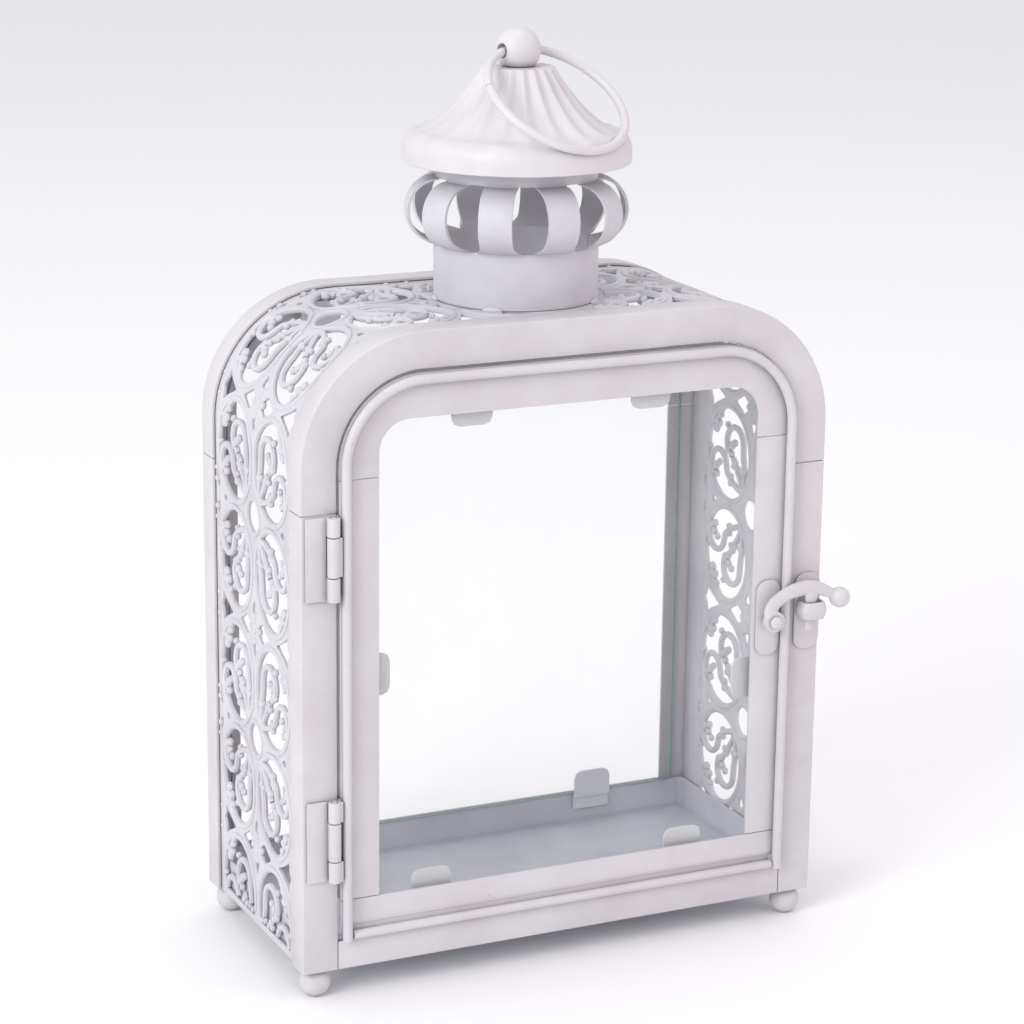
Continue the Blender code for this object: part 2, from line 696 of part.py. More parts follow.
door_arch = place(
    "door_arch_plate",
    standing_mesh("door_arch_plate", [door_arch_outline], FRONT, FRONT + DOOR_FLANGE),
    (0.74, 0.71, 0.73),
)
behind_the_plate = arched_outline(
    DOOR_LEFT + SHEET,
    DOOR_RIGHT - SHEET,
    arch_foot - DOOR_FLANGE,
    DOOR_TOP - SHEET,
    DOOR_CORNER - SHEET,
)
hollow = standing_mesh(
    "door_arch_hollow", [behind_the_plate], FRONT + SHEET, FRONT + 2 * DOOR_FLANGE
)
boolean(door_arch, cutter("door_arch_hollow", hollow), "DIFFERENCE")

hem_centre = (FRONT - HEM_OUT, DOOR_BOTTOM + HEM_RADIUS)
hem_left = DOOR_LEFT + 2 * BEAD_RADIUS + 2 * GAP
hem_right = DOOR_RIGHT - 2 * BEAD_RADIUS - 2 * GAP
roll = arc(hem_centre, HEM_RADIUS, 35, 270, 8)
hem_section = [(FRONT + SHEET, DOOR_BOTTOM), (FRONT + SHEET, DOOR_BOTTOM + 4 * HEM_RADIUS)]
hem_section += [(FRONT, DOOR_BOTTOM + 4 * HEM_RADIUS)] + roll
hem_profile = [(hem_left, y, z) for y, z in hem_section]
door_rail = place(
    "door_bottom_rail",
    swept_mesh("door_bottom_rail", hem_profile, [shift(x=hem_right - hem_left)]),
    (0.72, 0.69, 0.71),
)
rail_plate = box_mesh(
    "door_rail_plate",
    (DOOR_LEFT, FRONT, DOOR_BOTTOM + 3 * HEM_RADIUS),
    (DOOR_RIGHT, FRONT + SHEET, DOOR_RAIL_TOP),
)
boolean(door_rail, cutter("door_rail_plate", rail_plate), "UNION")

bead_y = FRONT - GAP - BEAD_RADIUS
bead_left = DOOR_LEFT + BEAD_RADIUS
bead_right = DOOR_RIGHT - BEAD_RADIUS
bead_corner = DOOR_CORNER - BEAD_RADIUS
bead_top = DOOR_TOP - BEAD_RADIUS
bead_line = [(bead_left, DOOR_BOTTOM)]
bead_line += arc((bead_left + bead_corner, bead_top - bead_corner), bead_corner, 180, 90, 7)
bead_line += arc((bead_right - bead_corner, bead_top - bead_corner), bead_corner, 90, 0, 7)
bead_line += [(bead_right, DOOR_BOTTOM)]
bead = wire_mesh(
    "door_bead", [(x, bead_y, z) for x, z in bead_line], [BEAD_RADIUS] * len(bead_line)
)
place("door_bead", bead, (0.60, 0.58, 0.60))

door_pane = arched_outline(
    GLASS_LEFT, GLASS_RIGHT, GLASS_BOTTOM, GLASS_TOP, OPENING_CORNER, 3
)
place(
    "door_glass",
    standing_mesh("door_glass", [door_pane], GLASS_FRONT, GLASS_FRONT + GLASS_THICKNESS),
    (0.90, 0.93, 0.91),
    roughness=0.02,
    transmission=1.0,
)

back_glass_back = BACK - SHEET - GAP
back_pane = arched_outline(
    -BODY_WIDTH / 2 + BACK_GLASS_INSET,
    BODY_WIDTH / 2 - BACK_GLASS_INSET,
    TRAY_WALL_HEIGHT + GAP,
    BODY_HEIGHT - BACK_GLASS_INSET,
    CORNER_RADIUS - BACK_GLASS_INSET,
)
place(
    "back_glass",
    standing_mesh("back_glass", [back_pane], back_glass_back - GLASS_THICKNESS, back_glass_back),
    (0.90, 0.93, 0.91),
    roughness=0.02,
    transmission=1.0,
)


# Clips: strips of sheet, fixed beside a pane, that step over its edge and hold it
def clip_mesh(name, foot_level, tongue_level, foot_length):
    """A stepped strip. Its pane's edge is at the origin, its foot runs to -X and its tongue
    to +X. Both levels are the undersides' distances along +Y from the plate behind."""
    half = CLIP_WIDTH / 2
    step = -GAP
    section = [
        (-foot_length, foot_level, -half),
        (step, foot_level, -half),
        (step, tongue_level, -half),
        (CLIP_TONGUE, tongue_level, -half),
        (CLIP_TONGUE, tongue_level + SHEET, -half),
        (step - SHEET, tongue_level + SHEET, -half),
        (step - SHEET, foot_level + SHEET, -half),
        (-foot_length, foot_level + SHEET, -half),
    ]
    mesh = swept_mesh(name, section, [shift(z=CLIP_WIDTH)])
    bm = bmesh.new()
    bm.from_mesh(mesh)
    tip_edges = [
        edge
        for edge in bm.edges
        if all(vert.co.x > CLIP_TONGUE - GAP for vert in edge.verts)
        and abs(edge.verts[0].co.y - edge.verts[1].co.y) > GAP
    ]
    bmesh.ops.bevel(
        bm, geom=tip_edges, offset=CLIP_TIP_ROUNDING, segments=2, profile=0.5, affect="EDGES"
    )
    return mesh_from(bm, name)


def clip(name, x, y, z, turn, facing, foot_level, tongue_level, foot_length):
    """Stand a clip at a pane's edge: turn is the direction of its tongue seen from the door,
    facing is the way along Y from the plate to the tongue."""
    mesh = clip_mesh(name, foot_level, tongue_level, foot_length)
    tongue = Vector((math.cos(turn), 0.0, math.sin(turn)))
    outwards = Vector((0.0, facing, 0.0))
    sideways = tongue.cross(outwards)
    frame = Matrix((tongue, outwards, sideways)).transposed().to_4x4()
    mesh.transform(frame)
    return place(name, mesh, (0.60, 0.61, 0.63), location=BODY_ORIGIN + Vector((x, y, z)))


up = math.pi / 2
pane_level = GAP + GLASS_THICKNESS + GAP
door_back = FRONT + SHEET
door_clips = (
    ("door_clip_bottom_left", GLASS_LEFT + DOOR_CLIP_LOWER[0], GLASS_BOTTOM, up),
    ("door_clip_bottom_right", GLASS_RIGHT - DOOR_CLIP_LOWER[1], GLASS_BOTTOM, up),
    ("door_clip_top_left", GLASS_LEFT + DOOR_CLIP_UPPER[0], GLASS_TOP, -up),
    ("door_clip_top_right", GLASS_RIGHT - DOOR_CLIP_UPPER[1], GLASS_TOP, -up),
    ("door_clip_left", GLASS_LEFT, GLASS_TOP - DOOR_CLIP_DROP[0], 0.0),
    ("door_clip_right", GLASS_RIGHT, GLASS_TOP - DOOR_CLIP_DROP[1], math.pi),
)
for name, x, z, turn in door_clips:
    clip(name, x, door_back, z, turn, 1, GAP, pane_level, CLIP_FOOT)

tray_inside = BACK - SHEET - GAP - SHEET
pane_inside = back_glass_back - GLASS_THICKNESS
back_clip_x = BODY_WIDTH / 2 - BACK_CLIP_INSET
for hand, x in (("left", -back_clip_x), ("right", back_clip_x)):
    clip(
        "back_clip_bottom_" + hand,
        x,
        tray_inside,
        TRAY_WALL_HEIGHT,
        up,
        -1,
        GAP,
        tray_inside - pane_inside + GAP,
        CLIP_FOOT,
    )
    clip(
        "back_clip_top_" + hand,
        x,
        BACK - SHEET,
        BODY_HEIGHT - BACK_GLASS_INSET,
        -up,
        -1,
        GAP,
        pane_level,
        SHORT_CLIP_FOOT,
    )


# Hinges: three knuckles on a pin, two on the fixed leaf and one on the door's, or the reverse
def knuckle_tube(name, bottom, top):
    """A solid round bar where a knuckle will be bored."""
    return rod_mesh(name, KNUCKLE_RADIUS, (HINGE_X, HINGE_Y, bottom), (HINGE_X, HINGE_Y, top), 12)


def hinge(label, bottom, joints):
    """One hinge. The joints are the two gaps between its knuckles, above its lower end."""
    top = bottom + HINGE_LENGTH
    lower = (bottom, bottom + joints[0] - GAP / 2)
    middle = (bottom + joints[0] + GAP / 2, bottom + joints[1] - GAP / 2)
    upper = (bottom + joints[1] + GAP / 2, top)
    fixed_ends = label == "upper"
    fixed_spans = [lower, upper] if fixed_ends else [middle]
    door_spans = [middle] if fixed_ends else [lower, upper]
    below = (HINGE_X, HINGE_Y, bottom - SHEET)
    above = (HINGE_X, HINGE_Y, top + SHEET)

    fixed_name = label + "_hinge_fixed_leaf"
    leaf_back = FRONT - GAP
    fixed = place(
        fixed_name,
        box_mesh(
            fixed_name,
            (-BODY_WIDTH / 2 + LEAF_INSET, leaf_back - LEAF_THICKNESS, bottom),
            (HINGE_X, leaf_back, top),
        ),
        (0.70, 0.67, 0.69),
    )
    door_name = label + "_hinge_door_leaf"
    leaf_x = HINGE_X + KNUCKLE_RADIUS
    door_leaf = place(
        door_name,
        box_mesh(
            door_name,
            (leaf_x, FRONT, bottom),
            (leaf_x + DOOR_LEAF_THICKNESS, FRONT + DOOR_LEAF_DEPTH, top),
        ),
        (0.66, 0.63, 0.65),
    )
    for index, (low, high) in enumerate(door_spans):
        relief_name = "%s_relief_%d" % (fixed_name, index)
        relief = rod_mesh(
            relief_name,
            KNUCKLE_RADIUS + 2 * GAP,
            (HINGE_X, HINGE_Y, low - GAP if low > bottom else low - SHEET),
            (HINGE_X, HINGE_Y, high + GAP if high < top else high + SHEET),
            16,
        )
        boolean(fixed, cutter(relief_name, relief), "DIFFERENCE")
        tab_name = "%s_tab_%d" % (door_name, index)
        tab_inner = HINGE_X + KNUCKLE_BORE
        tab_outer = leaf_x + DOOR_LEAF_THICKNESS
        tab_section = [
            (tab_inner, HINGE_Y - LEAF_THICKNESS, low),
            (tab_outer, HINGE_Y - LEAF_THICKNESS, low),
            (tab_outer, FRONT + SHEET, low),
            (leaf_x, FRONT + SHEET, low),
            (leaf_x, HINGE_Y + LEAF_THICKNESS, low),
            (tab_inner, HINGE_Y + LEAF_THICKNESS, low),
        ]
        tab = swept_mesh(tab_name, tab_section, [shift(z=high - low)])
        boolean(door_leaf, cutter(tab_name, tab), "UNION")
        tube_name = "%s_knuckle_%d" % (door_name, index)
        boolean(door_leaf, cutter(tube_name, knuckle_tube(tube_name, low, high)), "UNION")
    for index, (low, high) in enumerate(fixed_spans):
        tube_name = "%s_knuckle_%d" % (fixed_name, index)
        boolean(fixed, cutter(tube_name, knuckle_tube(tube_name, low, high)), "UNION")
    bore = rod_mesh(label + "_hinge_bore", KNUCKLE_BORE, below, above, 12)
    bore_tool = cutter(label + "_hinge_bore", bore)
    boolean(fixed, bore_tool, "DIFFERENCE")
    boolean(door_leaf, bore_tool, "DIFFERENCE")
    pin_name = label + "_hinge_pin"
    pin = rod_mesh(
        pin_name, PIN_RADIUS, (HINGE_X, HINGE_Y, bottom), (HINGE_X, HINGE_Y, top), 12
    )
    place(pin_name, pin, (0.62, 0.60, 0.62))


hinge("upper", DOOR_TOP - UPPER_HINGE_DROP, UPPER_HINGE_JOINTS)
hinge("lower", DOOR_BOTTOM + LOWER_HINGE_RISE, LOWER_HINGE_JOINTS)


# Latch: two plates, a staple, and a hook on a rivet
def from_rivet(across, up):
    """A place on the front given from the middle of the rivet."""
    return (PIVOT_X + across, RIVET_HEIGHT + up)


def plate_outline(middle, size):
    """A small plate with well rounded corners."""
    reach = (size[0] / 2, size[1] / 2)
    edges = (middle[0] - reach[0], middle[0] + reach[0], middle[1] - reach[1], middle[1] + reach[1])
    return rounded_outline(*edges, PLATE_CORNER, PLATE_CORNER, 4)


leaf_front = FRONT - GAP - PLATE_THICKNESS
catch_x = BODY_WIDTH / 2 - CATCH_PLATE_INSET - CATCH_PLATE_SIZE[0] / 2
for name, middle, size in (
    ("latch_plate", from_rivet(*LATCH_PLATE_SHIFT), LATCH_PLATE_SIZE),
    ("catch_plate", (catch_x, RIVET_HEIGHT + CATCH_PLATE_RISE), CATCH_PLATE_SIZE),
):
    plate = standing_mesh(name, [plate_outline(middle, size)], leaf_front, FRONT - GAP)
    place(name, plate, (0.70, 0.66, 0.68))

pivot_x, pivot_z = from_rivet(0.0, 0.0)
hook_y = FRONT - HOOK_MIDDLE_OUT
hook_front = hook_y - HOOK_THICKNESS / 2
hook_back = hook_y + HOOK_THICKNESS / 2
head_front = hook_front - GAP - RIVET_HEAD_HEIGHT
dome = arc((0.0, hook_front - GAP), (RIVET_HEAD, RIVET_HEAD_HEIGHT), -90, 0, 3)
rivet_profile = [(0.0, head_front)] + dome[1:]
rivet_profile += [(RIVET_RADIUS, hook_front - GAP), (RIVET_RADIUS, hook_back + GAP)]
rivet_profile += [(RIVET_BOSS, hook_back + GAP), (RIVET_BOSS, leaf_front - GAP)]
rivet_profile += [(0.0, leaf_front - GAP)]
rivet = turned_mesh("latch_rivet", [(radius, -y) for radius, y in rivet_profile], 16)
rivet.transform(
    Matrix.Translation((pivot_x, 0.0, pivot_z)) @ Matrix.Rotation(math.pi / 2, 4, "X")
)
place("latch_rivet", rivet, (0.72, 0.69, 0.71))


def flat_bar(name, line, radii):
    """A round bar pressed to the thickness of the hook."""
    mesh = wire_mesh(name, [(x, 0.0, z) for x, z in line], radii)
    press = Matrix.Diagonal((1.0, HOOK_THICKNESS / 2 / max(radii), 1.0, 1.0))
    mesh.transform(Matrix.Translation((0.0, hook_y, 0.0)) @ press)
    return mesh


disc = rod_mesh(
    "latch_hook", DISC_RADIUS, (pivot_x, hook_front, pivot_z), (pivot_x, hook_back, pivot_z), 20
)
hook = place("latch_hook", disc, (0.74, 0.70, 0.72))
for tool_name, line, radii in (
    ("latch_hook_arm", ARM_LINE, ARM_RADII),
    ("latch_hook_prong", PRONG_LINE, PRONG_RADII),
):
    bar = flat_bar(tool_name, [from_rivet(*point) for point in line], radii)
    boolean(hook, cutter(tool_name, bar), "UNION")
ball_x, ball_z = from_rivet(*HOOK_BALL_PLACE)
knob = ball_mesh("latch_hook_ball", HOOK_BALL, (ball_x, hook_y, ball_z), 12, 8)
boolean(hook, cutter("latch_hook_ball", knob), "UNION")
hook_bore = rod_mesh(
    "latch_hook_bore",
    RIVET_BORE,
    (pivot_x, hook_front - SHEET, pivot_z),
    (pivot_x, hook_back + SHEET, pivot_z),
    12,
)
boolean(hook, cutter("latch_hook_bore", hook_bore), "DIFFERENCE")

staple_base = leaf_front - GAP
staple_front = FRONT - STAPLE_OUT
staple_left = catch_x - STAPLE_WIDTH / 2
staple_right = catch_x + STAPLE_WIDTH / 2
bend_y = staple_front + STAPLE_ROUNDING
staple_line = [(staple_left, staple_base)]
staple_line += arc((staple_left + STAPLE_ROUNDING, bend_y), STAPLE_ROUNDING, 180, 270, 3)
staple_line += arc((staple_right - STAPLE_ROUNDING, bend_y), STAPLE_ROUNDING, 270, 360, 3)
staple_line += [(staple_right, staple_base)]
staple_low, staple_high = (RIVET_HEIGHT + level for level in STAPLE_LEVELS)
staple_bm = bmesh.new()
staple_verts = [staple_bm.verts.new((x, y, staple_low)) for x, y in staple_line]
staple_edges = [staple_bm.edges.new(pair) for pair in zip(staple_verts, staple_verts[1:])]
staple_raised = bmesh.ops.extrude_edge_only(staple_bm, edges=staple_edges)["geom"]
staple_tops = [item for item in staple_raised if isinstance(item, bmesh.types.BMVert)]
bmesh.ops.translate(staple_bm, vec=(0.0, 0.0, staple_high - staple_low), verts=staple_tops)
staple_mesh = bpy.data.meshes.new("catch_staple")
staple_bm.to_mesh(staple_mesh)
staple_bm.free()
staple = place("catch_staple", staple_mesh, (0.73, 0.69, 0.71))
staple_wall = staple.modifiers.new("sheet", "SOLIDIFY")
staple_wall.thickness = STAPLE_SHEET
staple_wall.offset = 1.0
staple_wall.use_even_offset = True

# Chimney: one rolled sheet, slit into strips that are pushed out between its two rings.
# Its neck ends under the hollow sweep of the cap.
def cap_height(radius):
    """Height of the bell's outer skin above the lower edge of its rim."""
    share = (CAP_FOOT[0] - radius) / (CAP_FOOT[0] - CAP_EDGE[0])
    return CAP_FOOT[1] + (CAP_EDGE[1] - CAP_FOOT[1]) * share**CAP_SWEEP


neck_top = CAP_BOTTOM + cap_height(NECK_RADIUS) - FLUTE_DEPTH - SHEET - GAP
bulge_middle = (COLLAR_TOP + STRIP_TOP) / 2
bulge_half = (STRIP_TOP - COLLAR_TOP) / 2
bulge_base = (COLLAR_RADIUS + NECK_RADIUS) / 2
bulge = arc((bulge_base, bulge_middle), (BULGE_RADIUS - bulge_base, bulge_half), 80, -80, 7)
chimney_profile = [(NECK_RADIUS, neck_top), (NECK_RADIUS, STRIP_TOP)] + bulge
chimney_profile += [
    (COLLAR_RADIUS, COLLAR_TOP),
    (COLLAR_RADIUS, BODY_HEIGHT - BAND_OUTER + GAP),
]
chimney = place(
    "chimney_cage",
    turned_mesh("chimney_cage", chimney_profile, CHIMNEY_FACETS, SHEET),
    (0.62, 0.61, 0.63),
)
half_pitch = math.pi / STRIP_COUNT
window_apex = STRIP_WIDTH / 2 / math.sin(half_pitch)
window_reach = 2 * BULGE_RADIUS
for index in range(STRIP_COUNT):
    strip_angle = -math.pi / 2 + 2 * half_pitch * index
    heading = strip_angle + half_pitch
    apex = Vector((math.cos(heading), math.sin(heading), 0.0)) * window_apex
    window = [apex + Vector((0.0, 0.0, COLLAR_TOP))]
    for edge_angle in (strip_angle, strip_angle + 2 * half_pitch):
        edge = Vector((math.cos(edge_angle), math.sin(edge_angle), 0.0)) * window_reach
        window.append(apex + edge + Vector((0.0, 0.0, COLLAR_TOP)))
    tool_name = "chimney_window_%d" % index
    tool = swept_mesh(tool_name, window, [shift(z=STRIP_TOP - COLLAR_TOP)])
    boolean(chimney, cutter(tool_name, tool), "DIFFERENCE")


# Cap: a spun bell with a hollow sweep, pressed into flutes that die away above a plain rim
def flute_depth(radius, angle):
    """Depth of the flutes: wide channels between narrow ridges."""
    run_in = min(1.0, FLUTE_START + (1.0 - FLUTE_START) * (radius - CAP_EDGE[0]) / FLUTE_RUN_IN)
    run_out = min(1.0, (CAP_SHOULDER[0] - radius) / FLUTE_RUN_OUT)
    return FLUTE_DEPTH * run_in * run_out * abs(math.sin(FLUTE_COUNT / 2 * angle))


def cap_mesh():
    """The cap's outer skin, open below, with its flutes pressed in by formula."""
    rings = [
        CAP_EDGE[0] + (CAP_FOOT[0] - CAP_EDGE[0]) * step / CAP_RINGS for step in range(CAP_RINGS + 1)
    ]
    profile = [(radius, cap_height(radius)) for radius in rings] + [CAP_SHOULDER]
    profile += [(CAP_RIM_RADIUS, CAP_RIM_HEIGHT), (CAP_RIM_RADIUS, 0.0)]
    profile = [(radius, CAP_BOTTOM + height) for radius, height in profile]
    mesh = turned_mesh("cap", profile, FLUTE_COUNT * FLUTE_FACETS)
    bm = bmesh.new()
    bm.from_mesh(mesh)
    for vert in bm.verts:
        radius = math.hypot(vert.co.x, vert.co.y)
        if radius < CAP_SHOULDER[0]:
            angle = math.atan2(vert.co.y, vert.co.x)
            scale = 1.0 - flute_depth(radius, angle) / radius
            vert.co.x *= scale
            vert.co.y *= scale
    middle = (CAP_BOTTOM + CAP_TOP) / 2
    rim = [edge for edge in bm.edges if edge.is_boundary and edge.verts[0].co.z > middle]
    bmesh.ops.holes_fill(bm, edges=rim)
    bmesh.ops.recalc_face_normals(bm, faces=bm.faces[:])
    bm.faces.ensure_lookup_table()
    lid = max(bm.faces, key=lambda face: face.calc_center_median().z)
    if lid.normal.z < 0.0:
        bmesh.ops.reverse_faces(bm, faces=bm.faces[:])
    bm.to_mesh(mesh)
    bm.free()
    return mesh


cap = place("cap", cap_mesh(), (0.80, 0.78, 0.80))
cap_wall = cap.modifiers.new("sheet", "SOLIDIFY")
cap_wall.thickness = SHEET
cap_wall.offset = -1.0

# Finial ball, flattened on the cap and bored for the carry ring
bore_way = Vector((math.cos(RING_TURN), math.sin(RING_TURN), 0.0))
ball_middle = Vector((0.0, 0.0, BALL_CENTRE))
ball_bm = bmesh.new()
bmesh.ops.create_uvsphere(ball_bm, u_segments=20, v_segments=12, radius=BALL_RADIUS)
ball_cut = bmesh.ops.bisect_plane(
    ball_bm,
    geom=ball_bm.verts[:] + ball_bm.edges[:] + ball_bm.faces[:],
    plane_co=(0.0, 0.0, CAP_TOP + GAP - BALL_CENTRE),
    plane_no=(0.0, 0.0, -1.0),
    clear_outer=True,
)["geom_cut"]
bmesh.ops.holes_fill(
    ball_bm, edges=[item for item in ball_cut if isinstance(item, bmesh.types.BMEdge)]
)
bmesh.ops.translate(ball_bm, vec=ball_middle, verts=ball_bm.verts)
ball = place("finial_ball", smooth(mesh_from(ball_bm, "finial_ball")), (0.82, 0.79, 0.82))
ball_bore = rod_mesh(
    "finial_bore",
    BALL_BORE,
    ball_middle - bore_way * 2 * BALL_RADIUS,
    ball_middle + bore_way * 2 * BALL_RADIUS,
    14,
)
boolean(ball, cutter("finial_bore", ball_bore), "DIFFERENCE")

# Carry ring: a wire ring through the ball, lying on the front of the cap
lean_way = Vector((math.sin(RING_TURN), -math.cos(RING_TURN), 0.0))
ring_fall = lean_way * math.cos(RING_LEAN) + Vector((0.0, 0.0, math.sin(RING_LEAN)))
ring_centre = ball_middle + ring_fall * (RING_RADIUS - RING_SAG)
ring_points = []
for step in range(RING_FACETS):
    angle = 2 * math.pi * step / RING_FACETS
    spoke = bore_way * math.cos(angle) + ring_fall * math.sin(angle)
    ring_points.append(ring_centre + spoke * RING_RADIUS)
carry_ring = wire_mesh("carry_ring", ring_points, [RING_WIRE] * RING_FACETS, closed=True)
place("carry_ring", carry_ring, (0.78, 0.75, 0.77))

# Axes of the moving pieces: empties on the joints' axes carry what turns about them
bpy.context.view_layer.update()


def axis_empty(name, spot, parent=None):
    """An empty on a joint's axis."""
    empty = bpy.data.objects.new(name, None)
    empty.location = spot
    empty.empty_display_size = BALL_RADIUS
    lantern.objects.link(empty)
    bpy.context.view_layer.update()
    if parent:
        empty.parent = parent
        empty.matrix_parent_inverse = parent.matrix_world.inverted()
        bpy.context.view_layer.update()
    return empty


def carry(empty, names):
    """Parent pieces to an empty without moving them."""
    for name in names:
        piece = bpy.data.objects[name]
        piece.parent = empty
        piece.matrix_parent_inverse = empty.matrix_world.inverted()


door_axis = axis_empty("door_swing_axis", BODY_ORIGIN + Vector((HINGE_X, HINGE_Y, 0.0)))
latch_axis = axis_empty(
    "latch_lift_axis", BODY_ORIGIN + Vector((pivot_x, hook_y, pivot_z)), door_axis
)
ring_axis = axis_empty("ring_swing_axis", BODY_ORIGIN + ball_middle)
door_pieces = ["door_left_strip", "door_right_strip", "door_arch_plate", "door_bottom_rail"]
door_pieces += ["door_bead", "door_glass", "latch_plate", "latch_rivet"]
door_pieces += ["upper_hinge_door_leaf", "lower_hinge_door_leaf"]
door_pieces += [clip_entry[0] for clip_entry in door_clips]
carry(door_axis, door_pieces)
carry(latch_axis, ["latch_hook"])
carry(ring_axis, ["carry_ring"])
bpy.context.view_layer.update()
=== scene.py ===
"""The finished look of a pierced metal candle lantern: satin white enamel on thin sheet, a glass
door, a slit chimney, a fluted cap and a carry ring. Metres, +Z up, the door towards -Y."""

import contextlib
import math

import bmesh
import bpy
from mathutils import Matrix, Vector


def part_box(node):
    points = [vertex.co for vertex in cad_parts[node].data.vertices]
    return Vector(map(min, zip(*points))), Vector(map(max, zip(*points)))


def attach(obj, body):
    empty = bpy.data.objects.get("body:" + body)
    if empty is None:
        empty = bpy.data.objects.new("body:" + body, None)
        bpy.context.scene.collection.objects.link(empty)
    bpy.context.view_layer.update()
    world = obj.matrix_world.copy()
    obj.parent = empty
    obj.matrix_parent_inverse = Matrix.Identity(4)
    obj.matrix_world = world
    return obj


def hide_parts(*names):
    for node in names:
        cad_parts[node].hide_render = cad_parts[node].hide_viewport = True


bl_info = {
    "name": "Metal Lantern",
    "version": (1, 0, 0),
    "blender": (4, 5, 0),
    "location": "3D Viewport > Sidebar > Lantern",
    "description": "Builds the finished surfaces of a pierced metal candle lantern",
    "category": "Object",
}

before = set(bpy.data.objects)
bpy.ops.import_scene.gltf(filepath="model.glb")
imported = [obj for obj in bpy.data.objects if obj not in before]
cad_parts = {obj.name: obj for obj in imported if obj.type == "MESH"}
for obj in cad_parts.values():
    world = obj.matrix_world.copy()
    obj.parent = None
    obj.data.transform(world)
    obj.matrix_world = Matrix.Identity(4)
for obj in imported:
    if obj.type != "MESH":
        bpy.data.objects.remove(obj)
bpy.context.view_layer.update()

# Sizes shared by several pieces
MM = 0.001
SHEET = 1.0 * MM
GAP = 0.3 * MM
FOOT_HEIGHT = 10.4 * MM
HALF_WIDTH = 100.0 * MM
FRONT = -47.8 * MM
BODY_TOP = FOOT_HEIGHT + 222.5 * MM
CORNER_RADIUS = 45.0 * MM
CORNER_X = HALF_WIDTH - CORNER_RADIUS
CORNER_Z = BODY_TOP - CORNER_RADIUS
FOOT_RADIUS = 5.5 * MM
FOOT_CENTRE = 5.2 * MM
FRAME_FACE = 12.8 * MM
FRAME_FLANGE = 10.8 * MM
SHEET_BEND = 0.8 * MM
DOOR_BEND = 0.6 * MM
TIGHT_BEND = 0.1 * MM

# Rounding that thick paint leaves on edges
WIRE_EDGE = 0.12 * MM
LEAF_EDGE = 0.15 * MM
FINE_EDGE = 0.18 * MM
CLIP_EDGE = 0.2 * MM
PLATE_EDGE = 0.25 * MM
SOFT_EDGE = 0.3 * MM
STAPLE_EDGE = 0.35 * MM
BEAD_EDGE = 0.4 * MM

# The pierced pattern: one quarter of a medallion, across and along the strip
TILE_PITCH = 81.1 * MM
MEDALLIONS = [70.1 * MM + index * TILE_PITCH for index in range(-1, 8)]
STRIP_HALF = 46.5 * MM
STRIP_INSET = 1.3 * MM
STRIP_THICKNESS = 1.2 * MM
STRIP_HEM = 2.5 * MM
BEAD_RISE = 1.15 * MM
STROKE_DEPTH = 0.5 * MM
STRIP_RISE = CORNER_Z - FOOT_HEIGHT
STRIP_BEND = math.pi / 2 * CORNER_RADIUS
STRIP_LENGTH = 2 * (STRIP_RISE + STRIP_BEND + CORNER_X)
SMALLEST_OPENING = 2.0 * MM * MM
STROKE_CLEAR = 0.6 * MM
SEAT_OUTER = 31.0 * MM
SEAT_INNER = 24.5 * MM
LOBE_CENTRE = (17.6, 19.55)
LOBE_RADII = (15.3, 17.3)
UPPER_CURL = (13.6, 24.3)
LOWER_CURL = (25.6, 13.9)
EYE_RADIUS = 5.5 * MM
EYE_RING = 6.5 * MM

# Door
DOOR_LEFT = -85.9 * MM
DOOR_RIGHT = 86.6 * MM
DOOR_TOP = FOOT_HEIGHT + 208.2 * MM
DOOR_BOTTOM = FOOT_HEIGHT + 11.0 * MM
DOOR_CORNER = 30.0 * MM
DOOR_STRIP = 14.2 * MM
DOOR_HEAD = 15.2 * MM
DOOR_FLANGE = 6.0 * MM
OPENING_CORNER = 11.0 * MM
BEAD_RADIUS = 1.7 * MM
HEM_RADIUS = 1.6 * MM
HEM_OUT = 1.3 * MM
BACK_PANE_CORNER = 36.5 * MM

# Hinges, with the seams between the knuckles in millimetres above the lower end
KNUCKLE_RADIUS = 2.2 * MM
KNUCKLE_BORE = 1.3 * MM
PIN_RADIUS = 1.0 * MM
FIXED_LEAF = 0.8 * MM
DOOR_LEAF = 0.7 * MM
HINGE_SEAMS = (("upper", (8.4, 22.3)), ("lower", (7.7, 21.5)))

# Latch
PLATE_CORNER = 4.2 * MM
STAPLE_CORNER = 2.6 * MM
STAPLE_STEPS = 10
STAPLE_TAPER = 0.16
RIVET_HEAD = 2.4 * MM
RIVET_DOME = 1.7 * MM
RIVET_SHANK = 1.2 * MM
RIVET_BOSS = 2.2 * MM
HOOK_BORE = 1.5 * MM
HOOK_EYE = 3.8 * MM
HOOK_BALL = 3.8 * MM
HOOK_GRAIN = 0.16 * MM
PIVOT = (78.3 * MM, FOOT_HEIGHT + 107.1 * MM)
HOOK_Y = FRONT - 5.4 * MM
HOOK_HALF = 1.4 * MM
HOOK_KNOB = (26.9 * MM, 6.0 * MM)

# The hook's arm and prong: across and up from the rivet, then the radius there, in millimetres
HOOK_ARM = (
    (-1.3, 1.4, 2.7),
    (-1.5, 4.4, 2.7),
    (0.1, 6.9, 2.6),
    (4.7, 9.7, 2.6),
    (9.7, 11.0, 2.8),
    (14.2, 11.2, 2.8),
    (18.7, 10.3, 2.4),
    (26.7, 6.0, 1.7),
)
HOOK_PRONG = ((15.3, 10.9, 3.6), (15.1, 5.4, 2.1), (14.8, 0.9, 1.7), (14.4, -5.1, 1.5))

